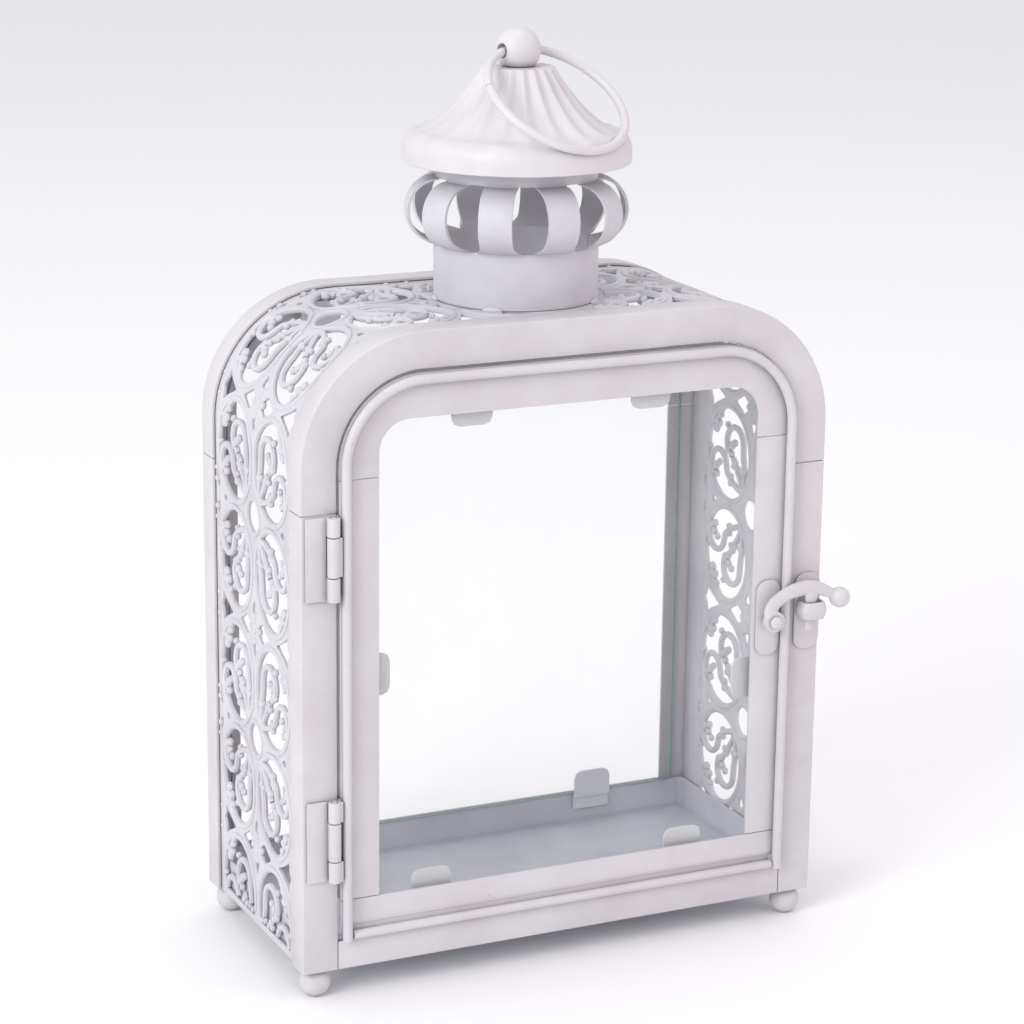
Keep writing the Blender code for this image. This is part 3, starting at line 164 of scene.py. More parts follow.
# Chimney, cap, ball and ring
COLLAR_RADIUS = 28.9 * MM
COLLAR_TOP = BODY_TOP + 18.6 * MM
STRIP_TOP = COLLAR_TOP + 22.5 * MM
NECK_RADIUS = 28.4 * MM
BULGE_RADIUS = 39.15 * MM
BULGE_DEGREES = 84
STRIP_COUNT = 10
WINDOW_APEX = 18.77 * MM
WINDOW_NEAR = 22.0 * MM
WINDOW_FAR = 45.0 * MM
WINDOW_CORNER = 3.0 * MM
WINDOW_OVERRUN = 0.4 * MM
SEAM_ANGLE = math.radians(-140.0)
SEAM_HALF = 2.2 * MM
WELDS = ((-131, 2.5), (-45, 2.2), (20, 2.0), (95, 1.7), (170, 2.1))
CAP_BOTTOM = STRIP_TOP + 5.6 * MM
CAP_RIM_RADIUS = 39.95 * MM
CAP_FOOT = (36.5 * MM, 10.6 * MM)
CAP_EDGE = (12.5 * MM, 32.4 * MM)
CAP_SWEEP = 1.72
CAP_RINGS = 36
CAP_PLATEAU = 0.86 * CAP_EDGE[0]
FLUTE_COUNT = 20
FLUTE_START = 0.55
FLUTE_RUN_IN = 5.0 * MM
FLUTE_END = 39.0 * MM
FLUTE_RUN_OUT = 2.2 * MM
FLUTE_WIDENING = 0.8

# The cap rounds over from the sweep's foot to the upright rim: radius and height in millimetres
CAP_SHOULDER = (
    (37.3, 10.15),
    (38.1, 9.45),
    (38.8, 8.45),
    (39.35, 7.2),
    (39.7, 6.0),
    (39.95, 4.8),
)
BALL_RADIUS = 7.9 * MM
BALL_HEIGHT = CAP_BOTTOM + 38.1 * MM
RING_RADIUS = 25.6 * MM
RING_WIRE = 1.5 * MM
RING_SAG = 0.55 * MM
RING_TURN = math.radians(16.0)
RING_LEAN = math.radians(-36.3)
RING_JOINT = math.radians(200.0)
RING_SLIT = 0.10 * MM
RING_STEPS = 180
BALL_BORE = 2.6 * MM
BALL_BORE_REACH = 9.0 * MM

# Camera, solved from the straight edges of the body
CAMERA_PLACE = (-0.4546, -0.9627, 0.4441)
CAMERA_AZIMUTH = math.radians(25.43)
CAMERA_ELEVATION = math.radians(15.40)
CAMERA_ROLL = math.radians(0.73)
CAMERA_LENS = 108.44
CAMERA_SENSOR = 36.0
CAMERA_SHIFT = (-0.0084, 0.0052)


def srgb(code):
    """Linear red, green and blue of an sRGB hex colour."""
    parts = [int(code[i : i + 2], 16) / 255 for i in (1, 3, 5)]
    return tuple(c / 12.92 if c <= 0.04045 else ((c + 0.055) / 1.055) ** 2.4 for c in parts)


# What a user would change
def length_setting(name, description, default):
    """A size in metres."""
    return bpy.props.FloatProperty(
        name=name, description=description, default=default, min=0.0, subtype="DISTANCE"
    )


def colour_setting(name, description, code):
    """A colour given as sRGB hex."""
    look = {"subtype": "COLOR", "size": 3, "min": 0.0, "max": 1.0}
    return bpy.props.FloatVectorProperty(
        name=name, description=description, default=srgb(code), **look
    )


class LanternShape(bpy.types.PropertyGroup):
    """How finely and how softly the pieces are modelled."""

    corner_steps: bpy.props.IntProperty(
        name="Corner steps", description="Steps round each bent corner", default=24, min=6
    )
    round_steps: bpy.props.IntProperty(
        name="Round steps", description="Steps round the chimney and the cap", default=240, min=40
    )
    edge: length_setting("Edge rounding", "Rounding of sheet edges under the paint", 0.22 * MM)
    flute_depth: length_setting("Flute depth", "Depth of the cap's pressed channels", 2.1 * MM)
    stroke_edge: length_setting("Stroke rounding", "Rounding of the pierced strokes", 0.24 * MM)


class LanternFinish(bpy.types.PropertyGroup):
    """Colours of the paint and the glass."""

    enamel: colour_setting("Enamel", "Satin white of the frames and the door", "#CFCCD0")
    pierced: colour_setting("Pierced sheet", "White of the filigree", "#CDCCD1")
    cap: colour_setting("Cap enamel", "White of the cap, the ball and the ring", "#D4D1D5")
    tray: colour_setting("Tray enamel", "Grey white of the floor tray", "#C8CBD3")
    clip: colour_setting("Clip metal", "Dull grey of the clips behind the glass", "#DCDEE1")
    speck: colour_setting("Specks", "Dust and pinholes in the paint", "#6E665F")
    glass: colour_setting("Glass", "Faint green of the window glass", "#DDEBE6")


class LanternStage(bpy.types.PropertyGroup):
    """Studio floor and light."""

    floor: colour_setting("Floor", "Pale floor", "#F8F8F9")
    key: bpy.props.FloatProperty(
        name="Key light",
        description="Power of the large light at the upper left",
        default=24.0,
        min=0.0,
        unit="POWER",
    )
    fill: bpy.props.FloatProperty(
        name="Fill light",
        description="Power of the light at the right",
        default=5.0,
        min=0.0,
        unit="POWER",
    )
    sky: bpy.props.FloatProperty(
        name="Sky", description="Strength of the even light all round", default=0.86, min=0.0
    )


# Modelling helpers
def pick(*pieces):
    """Select pieces and make the first of them active."""
    bpy.ops.object.select_all(action="DESELECT")
    for piece in pieces:
        piece.select_set(True)
    bpy.context.view_layer.objects.active = pieces[0]


@contextlib.contextmanager
def editing(piece):
    """Edit the piece with all of it selected."""
    pick(piece)
    bpy.ops.object.mode_set(mode="EDIT")
    bpy.ops.mesh.select_mode(type="VERT")
    bpy.ops.mesh.select_all(action="SELECT")
    yield
    bpy.ops.object.mode_set(mode="OBJECT")


def tidy_normals():
    """Turn every face of the mesh being edited outwards."""
    bpy.ops.mesh.select_all(action="SELECT")
    bpy.ops.mesh.normals_make_consistent(inside=False)


def outline(points, filled=True):
    """A flat face, or a closed line, through points in space."""
    bpy.ops.object.select_all(action="DESELECT")
    fill = "NGON" if filled else "NOTHING"
    bpy.ops.mesh.primitive_circle_add(vertices=len(points), fill_type=fill, location=(0, 0, 0))
    piece = bpy.context.object
    piece.data.vertices.foreach_set("co", [value for point in points for value in point])
    piece.data.update()
    return piece


def turn_to(degrees, steps, centre, axis=(0.0, 1.0, 0.0)):
    """A bend for drag(), clockwise as seen from the door."""
    return {
        "steps": steps,
        "angle": -math.radians(degrees),
        "center": tuple(centre),
        "axis": axis,
    }


def drag(section, *moves):
    """A closed bar: a flat section dragged through straight moves and bends."""
    piece = outline(section)
    with editing(piece):
        for move in moves:
            if isinstance(move, dict):
                bpy.ops.mesh.spin(**move)
            else:
                bpy.ops.mesh.extrude_region_move(TRANSFORM_OT_translate={"value": move})
        tidy_normals()
    return piece


def turned(loop, steps, centre=(0.0, 0.0, 0.0)):
    """A closed loop of radius and height turned about the upright axis."""
    piece = outline([(radius, 0.0, height) for radius, height in loop], filled=False)
    with editing(piece):
        bpy.ops.mesh.spin(
            steps=steps, angle=2 * math.pi, center=(0.0, 0.0, 0.0), axis=(0.0, 0.0, 1.0)
        )
        bpy.ops.mesh.select_all(action="SELECT")
        bpy.ops.mesh.remove_doubles(threshold=1e-6)
        tidy_normals()
        bpy.ops.transform.translate(value=centre)
    return piece


def round_curve(detail):
    """A curve whose lines have a round section of one metre times each point's radius."""
    curve = bpy.data.curves.new("wire", "CURVE")
    curve.dimensions = "3D"
    curve.bevel_depth = 1.0
    curve.bevel_resolution = detail
    curve.use_fill_caps = True
    return curve


def add_line(curve, points, radii=None, closed=False):
    """Add a line through points to a curve."""
    spline = curve.splines.new("POLY")
    spline.points.add(len(points) - 1)
    for knot, point in zip(spline.points, points):
        knot.co = (*point, 1.0)
    for knot, radius in zip(spline.points, radii or ()):
        knot.radius = radius
    spline.use_cyclic_u = closed


def from_curve(curve):
    """A curve turned into a welded mesh."""
    holder = bpy.data.objects.new("line", curve)
    bpy.context.scene.collection.objects.link(holder)
    pick(holder)
    bpy.ops.object.convert(target="MESH")
    piece = bpy.context.object
    with editing(piece):
        bpy.ops.mesh.remove_doubles(threshold=1e-6)
        tidy_normals()
    return piece


def wire(points, radii, closed=False, detail=6):
    """A round wire with a radius at each of its points."""
    curve = round_curve(detail)
    add_line(curve, points, radii, closed)
    return from_curve(curve)


def modify(piece, kind, **settings):
    """Apply one modifier to a new piece."""
    pick(piece)
    bpy.ops.object.modifier_add(type=kind)
    modifier = piece.modifiers[-1]
    for key, value in settings.items():
        setattr(modifier, key, value)
    bpy.ops.object.modifier_apply(modifier=modifier.name)
    return piece


def soften(piece, width=None, degrees=40.0, segments=2):
    """Round the piece's real edges, as thick paint does."""
    width = width or bpy.context.scene.lantern_shape.edge
    return modify(
        piece,
        "BEVEL",
        width=width,
        segments=segments,
        limit_method="ANGLE",
        angle_limit=math.radians(degrees),
        use_clamp_overlap=True,
    )


def carve(piece, tool, operation="DIFFERENCE"):
    """Cut the piece with a tool, or join the tool to it, and delete the tool."""
    modify(piece, "BOOLEAN", operation=operation, solver="EXACT", object=tool)
    bpy.data.objects.remove(tool, do_unlink=True)
    return piece


def join(*pieces):
    """Several meshes as one object."""
    pick(*pieces)
    bpy.ops.object.join()
    return bpy.context.object


def copies(piece, turns):
    """Copies of a piece turned about the upright axis, each with a mesh of its own."""
    made = [piece]
    for angle in turns:
        pick(piece)
        bpy.ops.object.duplicate(linked=False)
        twin = bpy.context.object
        with editing(twin):
            bpy.ops.transform.rotate(
                value=angle, orient_axis="Z", orient_type="GLOBAL", center_override=(0.0, 0.0, 0.0)
            )
        made.append(twin)
    return made


def block(lowest, highest):
    """A box between two corners."""
    x0, y0, z0 = lowest
    x1, y1, z1 = highest
    return drag([(x0, y0, z0), (x1, y0, z0), (x1, y1, z0), (x0, y1, z0)], (0.0, 0.0, z1 - z0))


def ball(radius, centre, segments=48, rings=32):
    """A sphere with its poles up and down."""
    bpy.ops.object.select_all(action="DESELECT")
    bpy.ops.mesh.primitive_uv_sphere_add(
        segments=segments, ring_count=rings, radius=radius, location=(0, 0, 0)
    )
    piece = bpy.context.object
    with editing(piece):
        bpy.ops.transform.translate(value=centre)
    return piece


def sliced(piece, height, keep_above):
    """Cut a piece level and close it."""
    with editing(piece):
        bpy.ops.mesh.bisect(
            plane_co=(0.0, 0.0, height),
            plane_no=(0.0, 0.0, 1.0),
            use_fill=True,
            clear_inner=keep_above,
            clear_outer=not keep_above,
        )
    return piece


def arc(centre, radii, start, end, steps):
    """Points of a circle's or an ellipse's arc, with its angles in degrees."""
    wide, high = radii if isinstance(radii, tuple) else (radii, radii)
    angles = [math.radians(start + (end - start) * i / steps) for i in range(steps + 1)]
    return [(centre[0] + wide * math.cos(a), centre[1] + high * math.sin(a)) for a in angles]


def edges(node):
    """Left, right, near, far, low and high of a piece of the frame."""
    low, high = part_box(node)
    return low.x, high.x, low.y, high.y, low.z, high.z


def put(piece, node, kind, body="lantern_body", smooth=35.0):
    """Name, paint and shade a finished piece that stands for one piece of the frame."""
    piece.name = "lantern_" + node
    piece.data.name = piece.name
    pick(piece)
    bpy.ops.object.shade_smooth_by_angle(angle=math.radians(smooth))
    piece.data.materials.clear()
    piece.data.materials.append(paint(kind))
    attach(piece, body)
    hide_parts(node)
    return piece


def keep(node, kind, rounding):
    """Paint a piece of the frame and round its edges without changing its mesh."""
    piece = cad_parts[node]
    weld = piece.modifiers.new("weld", "WELD")
    weld.merge_threshold = 1e-5
    bevel = piece.modifiers.new("paint edge", "BEVEL")
    bevel.width = rounding
    bevel.segments = 2
    bevel.limit_method = "ANGLE"
    bevel.angle_limit = math.radians(40.0)
    bevel.harden_normals = False
    piece.data.materials.clear()
    piece.data.materials.append(paint(kind))


# Finishes
def add(tree, kind, inputs=(), **settings):
    """Add a shader node with its settings, its values and its links."""
    item = tree.nodes.new("ShaderNode" + kind)
    for key, value in settings.items():
        setattr(item, key, value)
    for socket, value in dict(inputs).items():
        if isinstance(value, bpy.types.NodeSocket):
            tree.links.new(value, item.inputs[socket])
        else:
            item.inputs[socket].default_value = value
    return item


def per(millimetres):
    """Pattern scale whose features are that many millimetres apart."""
    return 1000.0 / millimetres


def blank(name):
    """A material with only its shader, and the place of each point on the piece."""
    material = bpy.data.materials.get(name) or bpy.data.materials.new(name)
    material.use_nodes = True
    tree = material.node_tree
    tree.nodes.clear()
    output = tree.nodes.new("ShaderNodeOutputMaterial")
    shader = tree.nodes.new("ShaderNodeBsdfPrincipled")
    tree.links.new(shader.outputs["BSDF"], output.inputs["Surface"])
    where = add(tree, "TexCoord").outputs["Object"]
    return material, tree, shader, where


def enamel(
    name, colour, shade=0.90, specks=0.6, rough=(0.36, 0.50), peel=1.0, corner_shade=0.25, shade_tint=None
):
    """Satin enamel: cloudy tone, dust specks, painted shade in corners and a fine orange peel."""
    material, tree, shader, where = blank(name)
    speck_colour = bpy.context.scene.lantern_finish.speck
    base = (*colour, 1.0)
    dull = (colour[0] * shade * 1.01, colour[1] * shade * 0.985, colour[2] * shade, 1.0)
    # Broad cloudiness where the coat is thicker or thinner
    cloud = add(
        tree, "TexNoise", {"Vector": where, "Scale": per(26), "Detail": 4.0, "Roughness": 0.6}
    )
    cloud_band = add(
        tree, "MapRange", {"Value": cloud.outputs["Fac"], "From Min": 0.38, "From Max": 0.68}
    )
    tone = add(
        tree,
        "Mix",
        {"Factor": cloud_band.outputs["Result"], "A": base, "B": dull},
        data_type="RGBA",
    )
    # Fine mottle of the primer showing through
    mottle = add(tree, "TexNoise", {"Vector": where, "Scale": per(2.4), "Detail": 3.0})
    mottle_band = add(
        tree,
        "MapRange",
        {"Value": mottle.outputs["Fac"], "From Min": 0.55, "From Max": 0.75, "To Max": 0.35},
    )
    mottled = add(
        tree,
        "Mix",
        {"Factor": mottle_band.outputs["Result"], "A": tone.outputs["Result"], "B": dull},
        data_type="RGBA",
    )
    # Painted shade: darker colour in corners and along seams, where the occlusion node finds shade
    # falls
    corners = add(tree, "AmbientOcclusion", {"Distance": 3.0 * MM}, samples=8)
    shade_band = add(
        tree,
        "MapRange",
        {
            "Value": corners.outputs["AO"],
            "From Min": 0.25,
            "From Max": 0.85,
            "To Min": corner_shade,
            "To Max": 0.0,
        },
    )
    # The painted shade takes the given tint, or else a darkened speck colour
    corner_shaded = add(
        tree,
        "Mix",
        {
            "Factor": shade_band.outputs["Result"],
            "A": mottled.outputs["Result"],
            "B": (*(shade_tint or [c * 0.45 for c in speck_colour]), 1.0),
        },
        data_type="RGBA",
    )
    # Dust specks: one in some of the cells of a scattered pattern
    cells = add(tree, "TexVoronoi", {"Vector": where, "Scale": per(9.0), "Randomness": 1.0})
    dot = add(
        tree,
        "MapRange",
        {
            "Value": cells.outputs["Distance"],
            "From Min": 0.014,
            "From Max": 0.030,
            "To Min": 1.0,
            "To Max": 0.0,
        },
    )
    lottery = add(tree, "SeparateColor", {"Color": cells.outputs["Color"]})
    chosen = add(
        tree,
        "Math",
        {0: lottery.outputs["Red"], 1: 1.0 - 0.5 * specks},
        operation="GREATER_THAN",
    )
    speck = add(
        tree, "Math", {0: dot.outputs["Result"], 1: chosen.outputs[0]}, operation="MULTIPLY"
    )
    coloured = add(
        tree,
        "Mix",
        {"Factor": speck.outputs[0], "A": corner_shaded.outputs["Result"], "B": (*speck_colour, 1.0)},
        data_type="RGBA",
    )
    tree.links.new(coloured.outputs["Result"], shader.inputs["Base Color"])
    # Sheen that wanders with handling
    wear = add(
        tree, "TexNoise", {"Vector": where, "Scale": per(14), "Detail": 5.0, "Roughness": 0.65}
    )
    sheen = add(
        tree,
        "MapRange",
        {
            "Value": wear.outputs["Fac"],
            "From Min": 0.3,
            "From Max": 0.7,
            "To Min": rough[0],
            "To Max": rough[1],
        },
    )
    tree.links.new(sheen.outputs["Result"], shader.inputs["Roughness"])
    # Orange peel over slow waves in the thin sheet, with a pit at each speck
    grain = add(tree, "TexNoise", {"Vector": where, "Scale": per(1.5), "Detail": 2.0})
    waves = add(tree, "TexNoise", {"Vector": where, "Scale": per(30), "Detail": 1.0})
    relief = None
    for height, strength, depth in (
        (waves.outputs["Fac"], 0.35, 0.35 * MM * peel),
        (grain.outputs["Fac"], 0.30, 0.06 * MM * peel),
        (speck.outputs[0], 0.60, 0.10 * MM),
    ):
        layer = {"Height": height, "Strength": strength, "Distance": depth}
        if relief:
            layer["Normal"] = relief.outputs["Normal"]
        relief = add(tree, "Bump", layer)
    tree.links.new(relief.outputs["Normal"], shader.inputs["Normal"])
    return material


def window_glass(name, colour):
    """Clear float glass: faint green, with a thin film of dust and smears."""
    material, tree, shader, where = blank(name)
    film = add(
        tree, "TexNoise", {"Vector": where, "Scale": per(45), "Detail": 6.0, "Roughness": 0.7}
    )
    dust = add(tree, "TexNoise", {"Vector": where, "Scale": per(1.2), "Detail": 2.0})
    veil = add(tree, "Math", operation="ADD")
    for place, (source, start, end, thin, thick) in enumerate(
        ((film, 0.35, 0.75, 0.025, 0.055), (dust, 0.66, 0.80, 0.0, 0.06))
    ):
        layer = {"From Min": start, "From Max": end, "To Min": thin, "To Max": thick}
        band = add(tree, "MapRange", {"Value": source.outputs["Fac"], **layer})
        tree.links.new(band.outputs["Result"], veil.inputs[place])
    tree.links.new(veil.outputs[0], shader.inputs["Alpha"])
    tint = add(
        tree,
        "Mix",
        {"Factor": film.outputs["Fac"], "A": (*colour, 1.0), "B": (0.80, 0.83, 0.82, 1.0)},
        data_type="RGBA",
    )
    tree.links.new(tint.outputs["Result"], shader.inputs["Base Color"])
    gloss = add(
        tree,
        "MapRange",
        {
            "Value": film.outputs["Fac"],
            "From Min": 0.3,
            "From Max": 0.8,
            "To Min": 0.02,
            "To Max": 0.16,
        },
    )
    tree.links.new(gloss.outputs["Result"], shader.inputs["Roughness"])
    shader.inputs["IOR"].default_value = 1.5
    return material


def glass_edge(name):
    """The sawn edge of the glass, where its green gathers over small chips."""
    material, tree, shader, where = blank(name)
    chips = add(tree, "TexNoise", {"Vector": where, "Scale": per(1.6), "Detail": 4.0})
    greens = {"A": (*srgb("#3F6A68"), 1.0), "B": (*srgb("#8FB5B0"), 1.0)}
    tone = add(tree, "Mix", {"Factor": chips.outputs["Fac"], **greens}, data_type="RGBA")
    tree.links.new(tone.outputs["Result"], shader.inputs["Base Color"])
    nicks = add(
        tree, "Bump", {"Height": chips.outputs["Fac"], "Strength": 0.5, "Distance": 0.15 * MM}
    )
    tree.links.new(nicks.outputs["Normal"], shader.inputs["Normal"])
    shader.inputs["Roughness"].default_value = 0.25
    shader.inputs["Alpha"].default_value = 0.85
    return material


def studio_paper(name, colour):
    """Matt pale paper with a hardly visible cloud."""
    material, tree, shader, where = blank(name)
    cloud = add(tree, "TexNoise", {"Vector": where, "Scale": per(400), "Detail": 3.0})
    pale = {"A": (*colour, 1.0), "B": (*[c * 0.985 for c in colour], 1.0)}
    tone = add(tree, "Mix", {"Factor": cloud.outputs["Fac"], **pale}, data_type="RGBA")
    tree.links.new(tone.outputs["Result"], shader.inputs["Base Color"])
    shader.inputs["Roughness"].default_value = 0.9
    return material


def paint(kind):
    """The finish of one kind of piece, made once."""
    finish = bpy.context.scene.lantern_finish
    known = bpy.data.materials.get(kind)
    if known:
        return known
    if kind == "window_glass":
        return window_glass(kind, finish.glass)
    if kind == "glass_edge":
        return glass_edge(kind)
    coats = {
        # Sprayed satin white: soft cloud, few specks
        "frame_enamel": (finish.enamel, {}),
        # The same coat, more often touched: evener in tone, with more specks
        "door_enamel": (finish.enamel, {"shade": 0.92, "specks": 0.8}),
        # Paint over the cast relief: duller, with painted shade grey between the strokes
        "filigree_enamel": (
            finish.pierced,
            {"shade": 0.88, "specks": 0.3, "rough": (0.42, 0.56), "corner_shade": 0.35},
        ),
        # Blue grey and nearly matt, with painted shade, tinted green, in the tray's creases
        "tray_enamel": (
            finish.tray,
            {
                "shade": 0.86,
                "specks": 0.9,
                "rough": (0.45, 0.62),
                "corner_shade": 0.5,
                # Green tint of the painted shade in the creases
                "shade_tint": srgb("#4F7377"),
            },
        ),
        # The brightest white, smooth over the pressed flutes, the ball and the wire
        "cap_enamel": (
            finish.cap,
            {"shade": 0.93, "specks": 0.25, "rough": (0.38, 0.50), "peel": 0.8},
        ),
        # Thick paint on small fittings: lumpy, speckled, with painted shade where plates meet
        "fitting_enamel": (finish.enamel, {"specks": 0.9, "peel": 1.6, "corner_shade": 0.45}),
        # Thin dull grey paint behind the glass
        "clip_enamel": (
            finish.clip,
            {"shade": 0.92, "specks": 0.8, "rough": (0.40, 0.58), "corner_shade": 0.2},
        ),
    }
    colour, look = coats[kind]
    return enamel(kind, colour, **look)


# Frames
def angle_section(width, depth, bend, place):
    """A sheet angle: a face, a rounded bend and a flange, each point put in space by place."""
    inner = bend - SHEET if bend > SHEET else TIGHT_BEND
    points = [(width, 0.0), (width, SHEET)]
    points += arc((SHEET + inner, SHEET + inner), inner, 270, 180, 3)
    points += [(SHEET, depth), (0.0, depth)]
    points += arc((bend, bend), bend, 180, 270, 5)
    return [place(across, back) for across, back in points]


def build_frames():
    """Both frames: an arch, two stiles and a lower rail each."""
    shape = bpy.context.scene.lantern_shape
    angle = (FRAME_FACE, FRAME_FLANGE, SHEET_BEND)
    for label, side in (("front", -1), ("back", 1)):
        for hand, x_out, inwards in (("left", -HALF_WIDTH, 1), ("right", HALF_WIDTH, -1)):
            node = "%s_%s_stile" % (label, hand)
            low, high = edges(node)[4:]
            section = angle_section(
                *angle, lambda a, b: (x_out + inwards * a, side * (-FRONT - b), low)
            )
            stile = soften(drag(section, (0.0, 0.0, high - low)))
            put(stile, node, "frame_enamel")
        node = label + "_arch"
        low = edges(node)[4]
        section = angle_section(
            *angle, lambda a, b: (-HALF_WIDTH + a, side * (-FRONT - b), low)
        )
        rise = CORNER_Z - low
        arch = drag(
            section,
            (0.0, 0.0, rise),
            turn_to(90, shape.corner_steps, (-CORNER_X, 0.0, CORNER_Z)),
            (2 * CORNER_X, 0.0, 0.0),
            turn_to(90, shape.corner_steps, (CORNER_X, 0.0, CORNER_Z)),
            (0.0, 0.0, -rise),
        )
        put(soften(arch), node, "frame_enamel")
        node = label + "_bottom_rail"
        left, right, near, far, low, high = edges(node)
        rail = soften(block((left, near, low), (right, far, high)))
        put(rail, node, "frame_enamel")


# Filigree
def quarter_openings():
    """Openings of one quarter of a medallion, in millimetres across and along the strip."""
    lobe = arc(LOBE_CENTRE, LOBE_RADII, 0, 342, 19)
    slot = [(33.0, 4.6), (35.6, 8.0), (35.6, 3.2), (33.4, 2.2)]
    return [lobe, slot]


def junction_openings():
    """Openings of the bar between two medallions, on one side of its flower."""
    inner = [(3.4, 39.6), (7.2, 36.6), (10.6, 38.7), (14.2, 40.5)]
    outer = [(21.5, 40.5), (29.0, 36.9), (31.5, 34.6), (31.8, 38.4), (33.6, 40.5)]
    pitch = TILE_PITCH / MM
    return [
        edge + [(across, pitch - along) for across, along in reversed(edge[:-1])]
        for edge in (inner, outer)
    ]


def area(loop):
    """Area inside a loop."""
    return abs(sum(x * v - u * y for (x, y), (u, v) in zip(loop, loop[1:] + loop[:1]))) / 2


def room(point):
    """How far a point of the strip lies clear of its solid hems and of the chimney's seat."""
    along, across = point
    to_seat = math.hypot(along - STRIP_LENGTH / 2, across) - SEAT_OUTER
    return min(along - STRIP_HEM, STRIP_LENGTH - STRIP_HEM - along, to_seat)


def kept_clear(loop):
    """The largest part of an opening that lies clear of the solid sheet."""
    rooms = [room(point) for point in loop]
    if min(rooms) > 0.0:
        return loop
    if max(rooms) <= 0.0:
        return []
    count = len(loop)
    first = next(i for i in range(count) if rooms[i] <= 0.0 < rooms[(i + 1) % count])
    parts = []
    for step in range(count):
        here = (first + step) % count
        after = (here + 1) % count
        if rooms[here] > 0.0:
            parts[-1].append(loop[here])
        if (rooms[here] > 0.0) != (rooms[after] > 0.0):
            share = rooms[here] / (rooms[here] - rooms[after])
            crossing = tuple(a + (b - a) * share for a, b in zip(loop[here], loop[after]))
            if rooms[after] > 0.0:
                parts.append([crossing])
            else:
                parts[-1].append(crossing)
    return max(parts, key=area)


def eased(loop, times=2):
    """Round a loop's corners by cutting each of them twice."""
    for _ in range(times):
        pairs = zip(loop, loop[1:] + loop[:1])
        loop = [
            (a[0] * (1 - cut) + b[0] * cut, a[1] * (1 - cut) + b[1] * cut)
            for a, b in pairs
            for cut in (0.2, 0.8)
        ]
    return loop


def quarters(centre, line):
    """A quarter's line repeated in all four quarters, in metres along and across the strip."""
    return [
        [(centre + way * b, side * a) for a, b in line] for side in (MM, -MM) for way in (MM, -MM)
    ]


def strip_openings():
    """Every opening of the flat strip, as points along and across it."""
    openings = []
    for centre in MEDALLIONS:
        for loop in quarter_openings():
            openings += quarters(centre, loop)
        openings.append([(centre + b, a) for a, b in arc((0.0, 0.0), EYE_RADIUS, 0, 337.5, 15)])
        for side in (MM, -MM):
            diamond = [(25.6, 0.0), (28.0, 1.5), (29.3, 0.0), (28.0, -1.5)]
            openings.append([(centre + MM * b, side * a) for a, b in diamond])
            bud = [(0.0, 29.5), (2.3, 34.0), (0.0, 36.8), (-2.3, 34.0)]
            openings.append([(centre + side * b, MM * a) for a, b in bud])
            for loop in junction_openings():
                openings.append([(centre + MM * b, side * a) for a, b in loop])
    clear = [kept_clear(loop) for loop in openings]
    return [eased(loop) for loop in clear if len(loop) > 2 and area(loop) > SMALLEST_OPENING]


def wrapped(along, across, inset):
    """A point of the strip, bent round the left side, the top and the right side."""
    radius = CORNER_RADIUS - inset
    half = STRIP_LENGTH / 2
    side = -1.0 if along < half else 1.0
    reach = along if along < half else STRIP_LENGTH - along
    if reach <= STRIP_RISE:
        return Vector((side * (HALF_WIDTH - inset), across, FOOT_HEIGHT + reach))
    if reach <= STRIP_RISE + STRIP_BEND:
        turn = (reach - STRIP_RISE) / CORNER_RADIUS
        x = CORNER_X + radius * math.cos(turn)
        return Vector((side * x, across, CORNER_Z + radius * math.sin(turn)))
    return Vector((side * (half - reach), across, BODY_TOP - inset))


def pierced_strip(shape):
    """The flat sheet with rounded strokes, folded smoothly round the body."""
    curve = bpy.data.curves.new("strip", "CURVE")
    curve.dimensions = "2D"
    curve.fill_mode = "BOTH"
    curve.extrude = STRIP_THICKNESS / 2 - shape.stroke_edge
    curve.bevel_depth = shape.stroke_edge
    curve.bevel_resolution = 1
    curve.offset = -shape.stroke_edge
    border = [(0.0, -STRIP_HALF), (STRIP_LENGTH, -STRIP_HALF)]
    border += [(STRIP_LENGTH, STRIP_HALF), (0.0, STRIP_HALF)]
    seat = arc((STRIP_LENGTH / 2, 0.0), SEAT_INNER, 0, 355, 71)
    for loop in [border, seat] + strip_openings():
        add_line(curve, [(x, y, 0.0) for x, y in loop], closed=True)
    piece = from_curve(curve)
    bm = bmesh.new()
    bm.from_mesh(piece.data)
    steps = shape.corner_steps
    folds = [STRIP_RISE + STRIP_BEND * i / steps for i in range(steps + 1)]
    for fold in folds + [STRIP_LENGTH - fold for fold in folds]:
        bmesh.ops.bisect_plane(
            bm,
            geom=bm.verts[:] + bm.edges[:] + bm.faces[:],
            dist=1e-7,
            plane_co=(fold, 0.0, 0.0),
            plane_no=(1.0, 0.0, 0.0),
        )
    for vert in bm.verts:
        inset = STRIP_INSET + STRIP_THICKNESS / 2 - vert.co.z
        vert.co = wrapped(vert.co.x, vert.co.y, inset)
    bmesh.ops.recalc_face_normals(bm, faces=bm.faces[:])
    bm.to_mesh(piece.data)
    bm.free()
    return piece


# Raised work on the outer face: round strokes, buds of three beads and beaded stems
def quarter_strokes():
    """Round strokes of one quarter, in millimetres across and along the strip."""
    root = (6.0, 6.4)
    lobe = arc(LOBE_CENTRE, (16.4, 18.5), 0, 360, 40)
    upper = [root, (5.8, 11.0), (6.4, 17.0), (7.2, 21.0)] + arc(UPPER_CURL, 6.2, 180, -25, 16)
    lower = [root, (10.8, 7.4), (15.6, 9.2), (19.2, 12.0)] + arc(LOWER_CURL, 5.7, 170, -35, 16)
    inner = [root, (9.0, 11.0), (12.4, 15.4), (14.8, 18.4)]
    spur = [(21.4, 37.8), (24.6, 34.6), (27.0, 31.4), (28.2, 28.4)]
    return [(lobe, 1.2), (upper, 1.2), (lower, 1.2), (inner, 1.15), (spur, 1.1)]


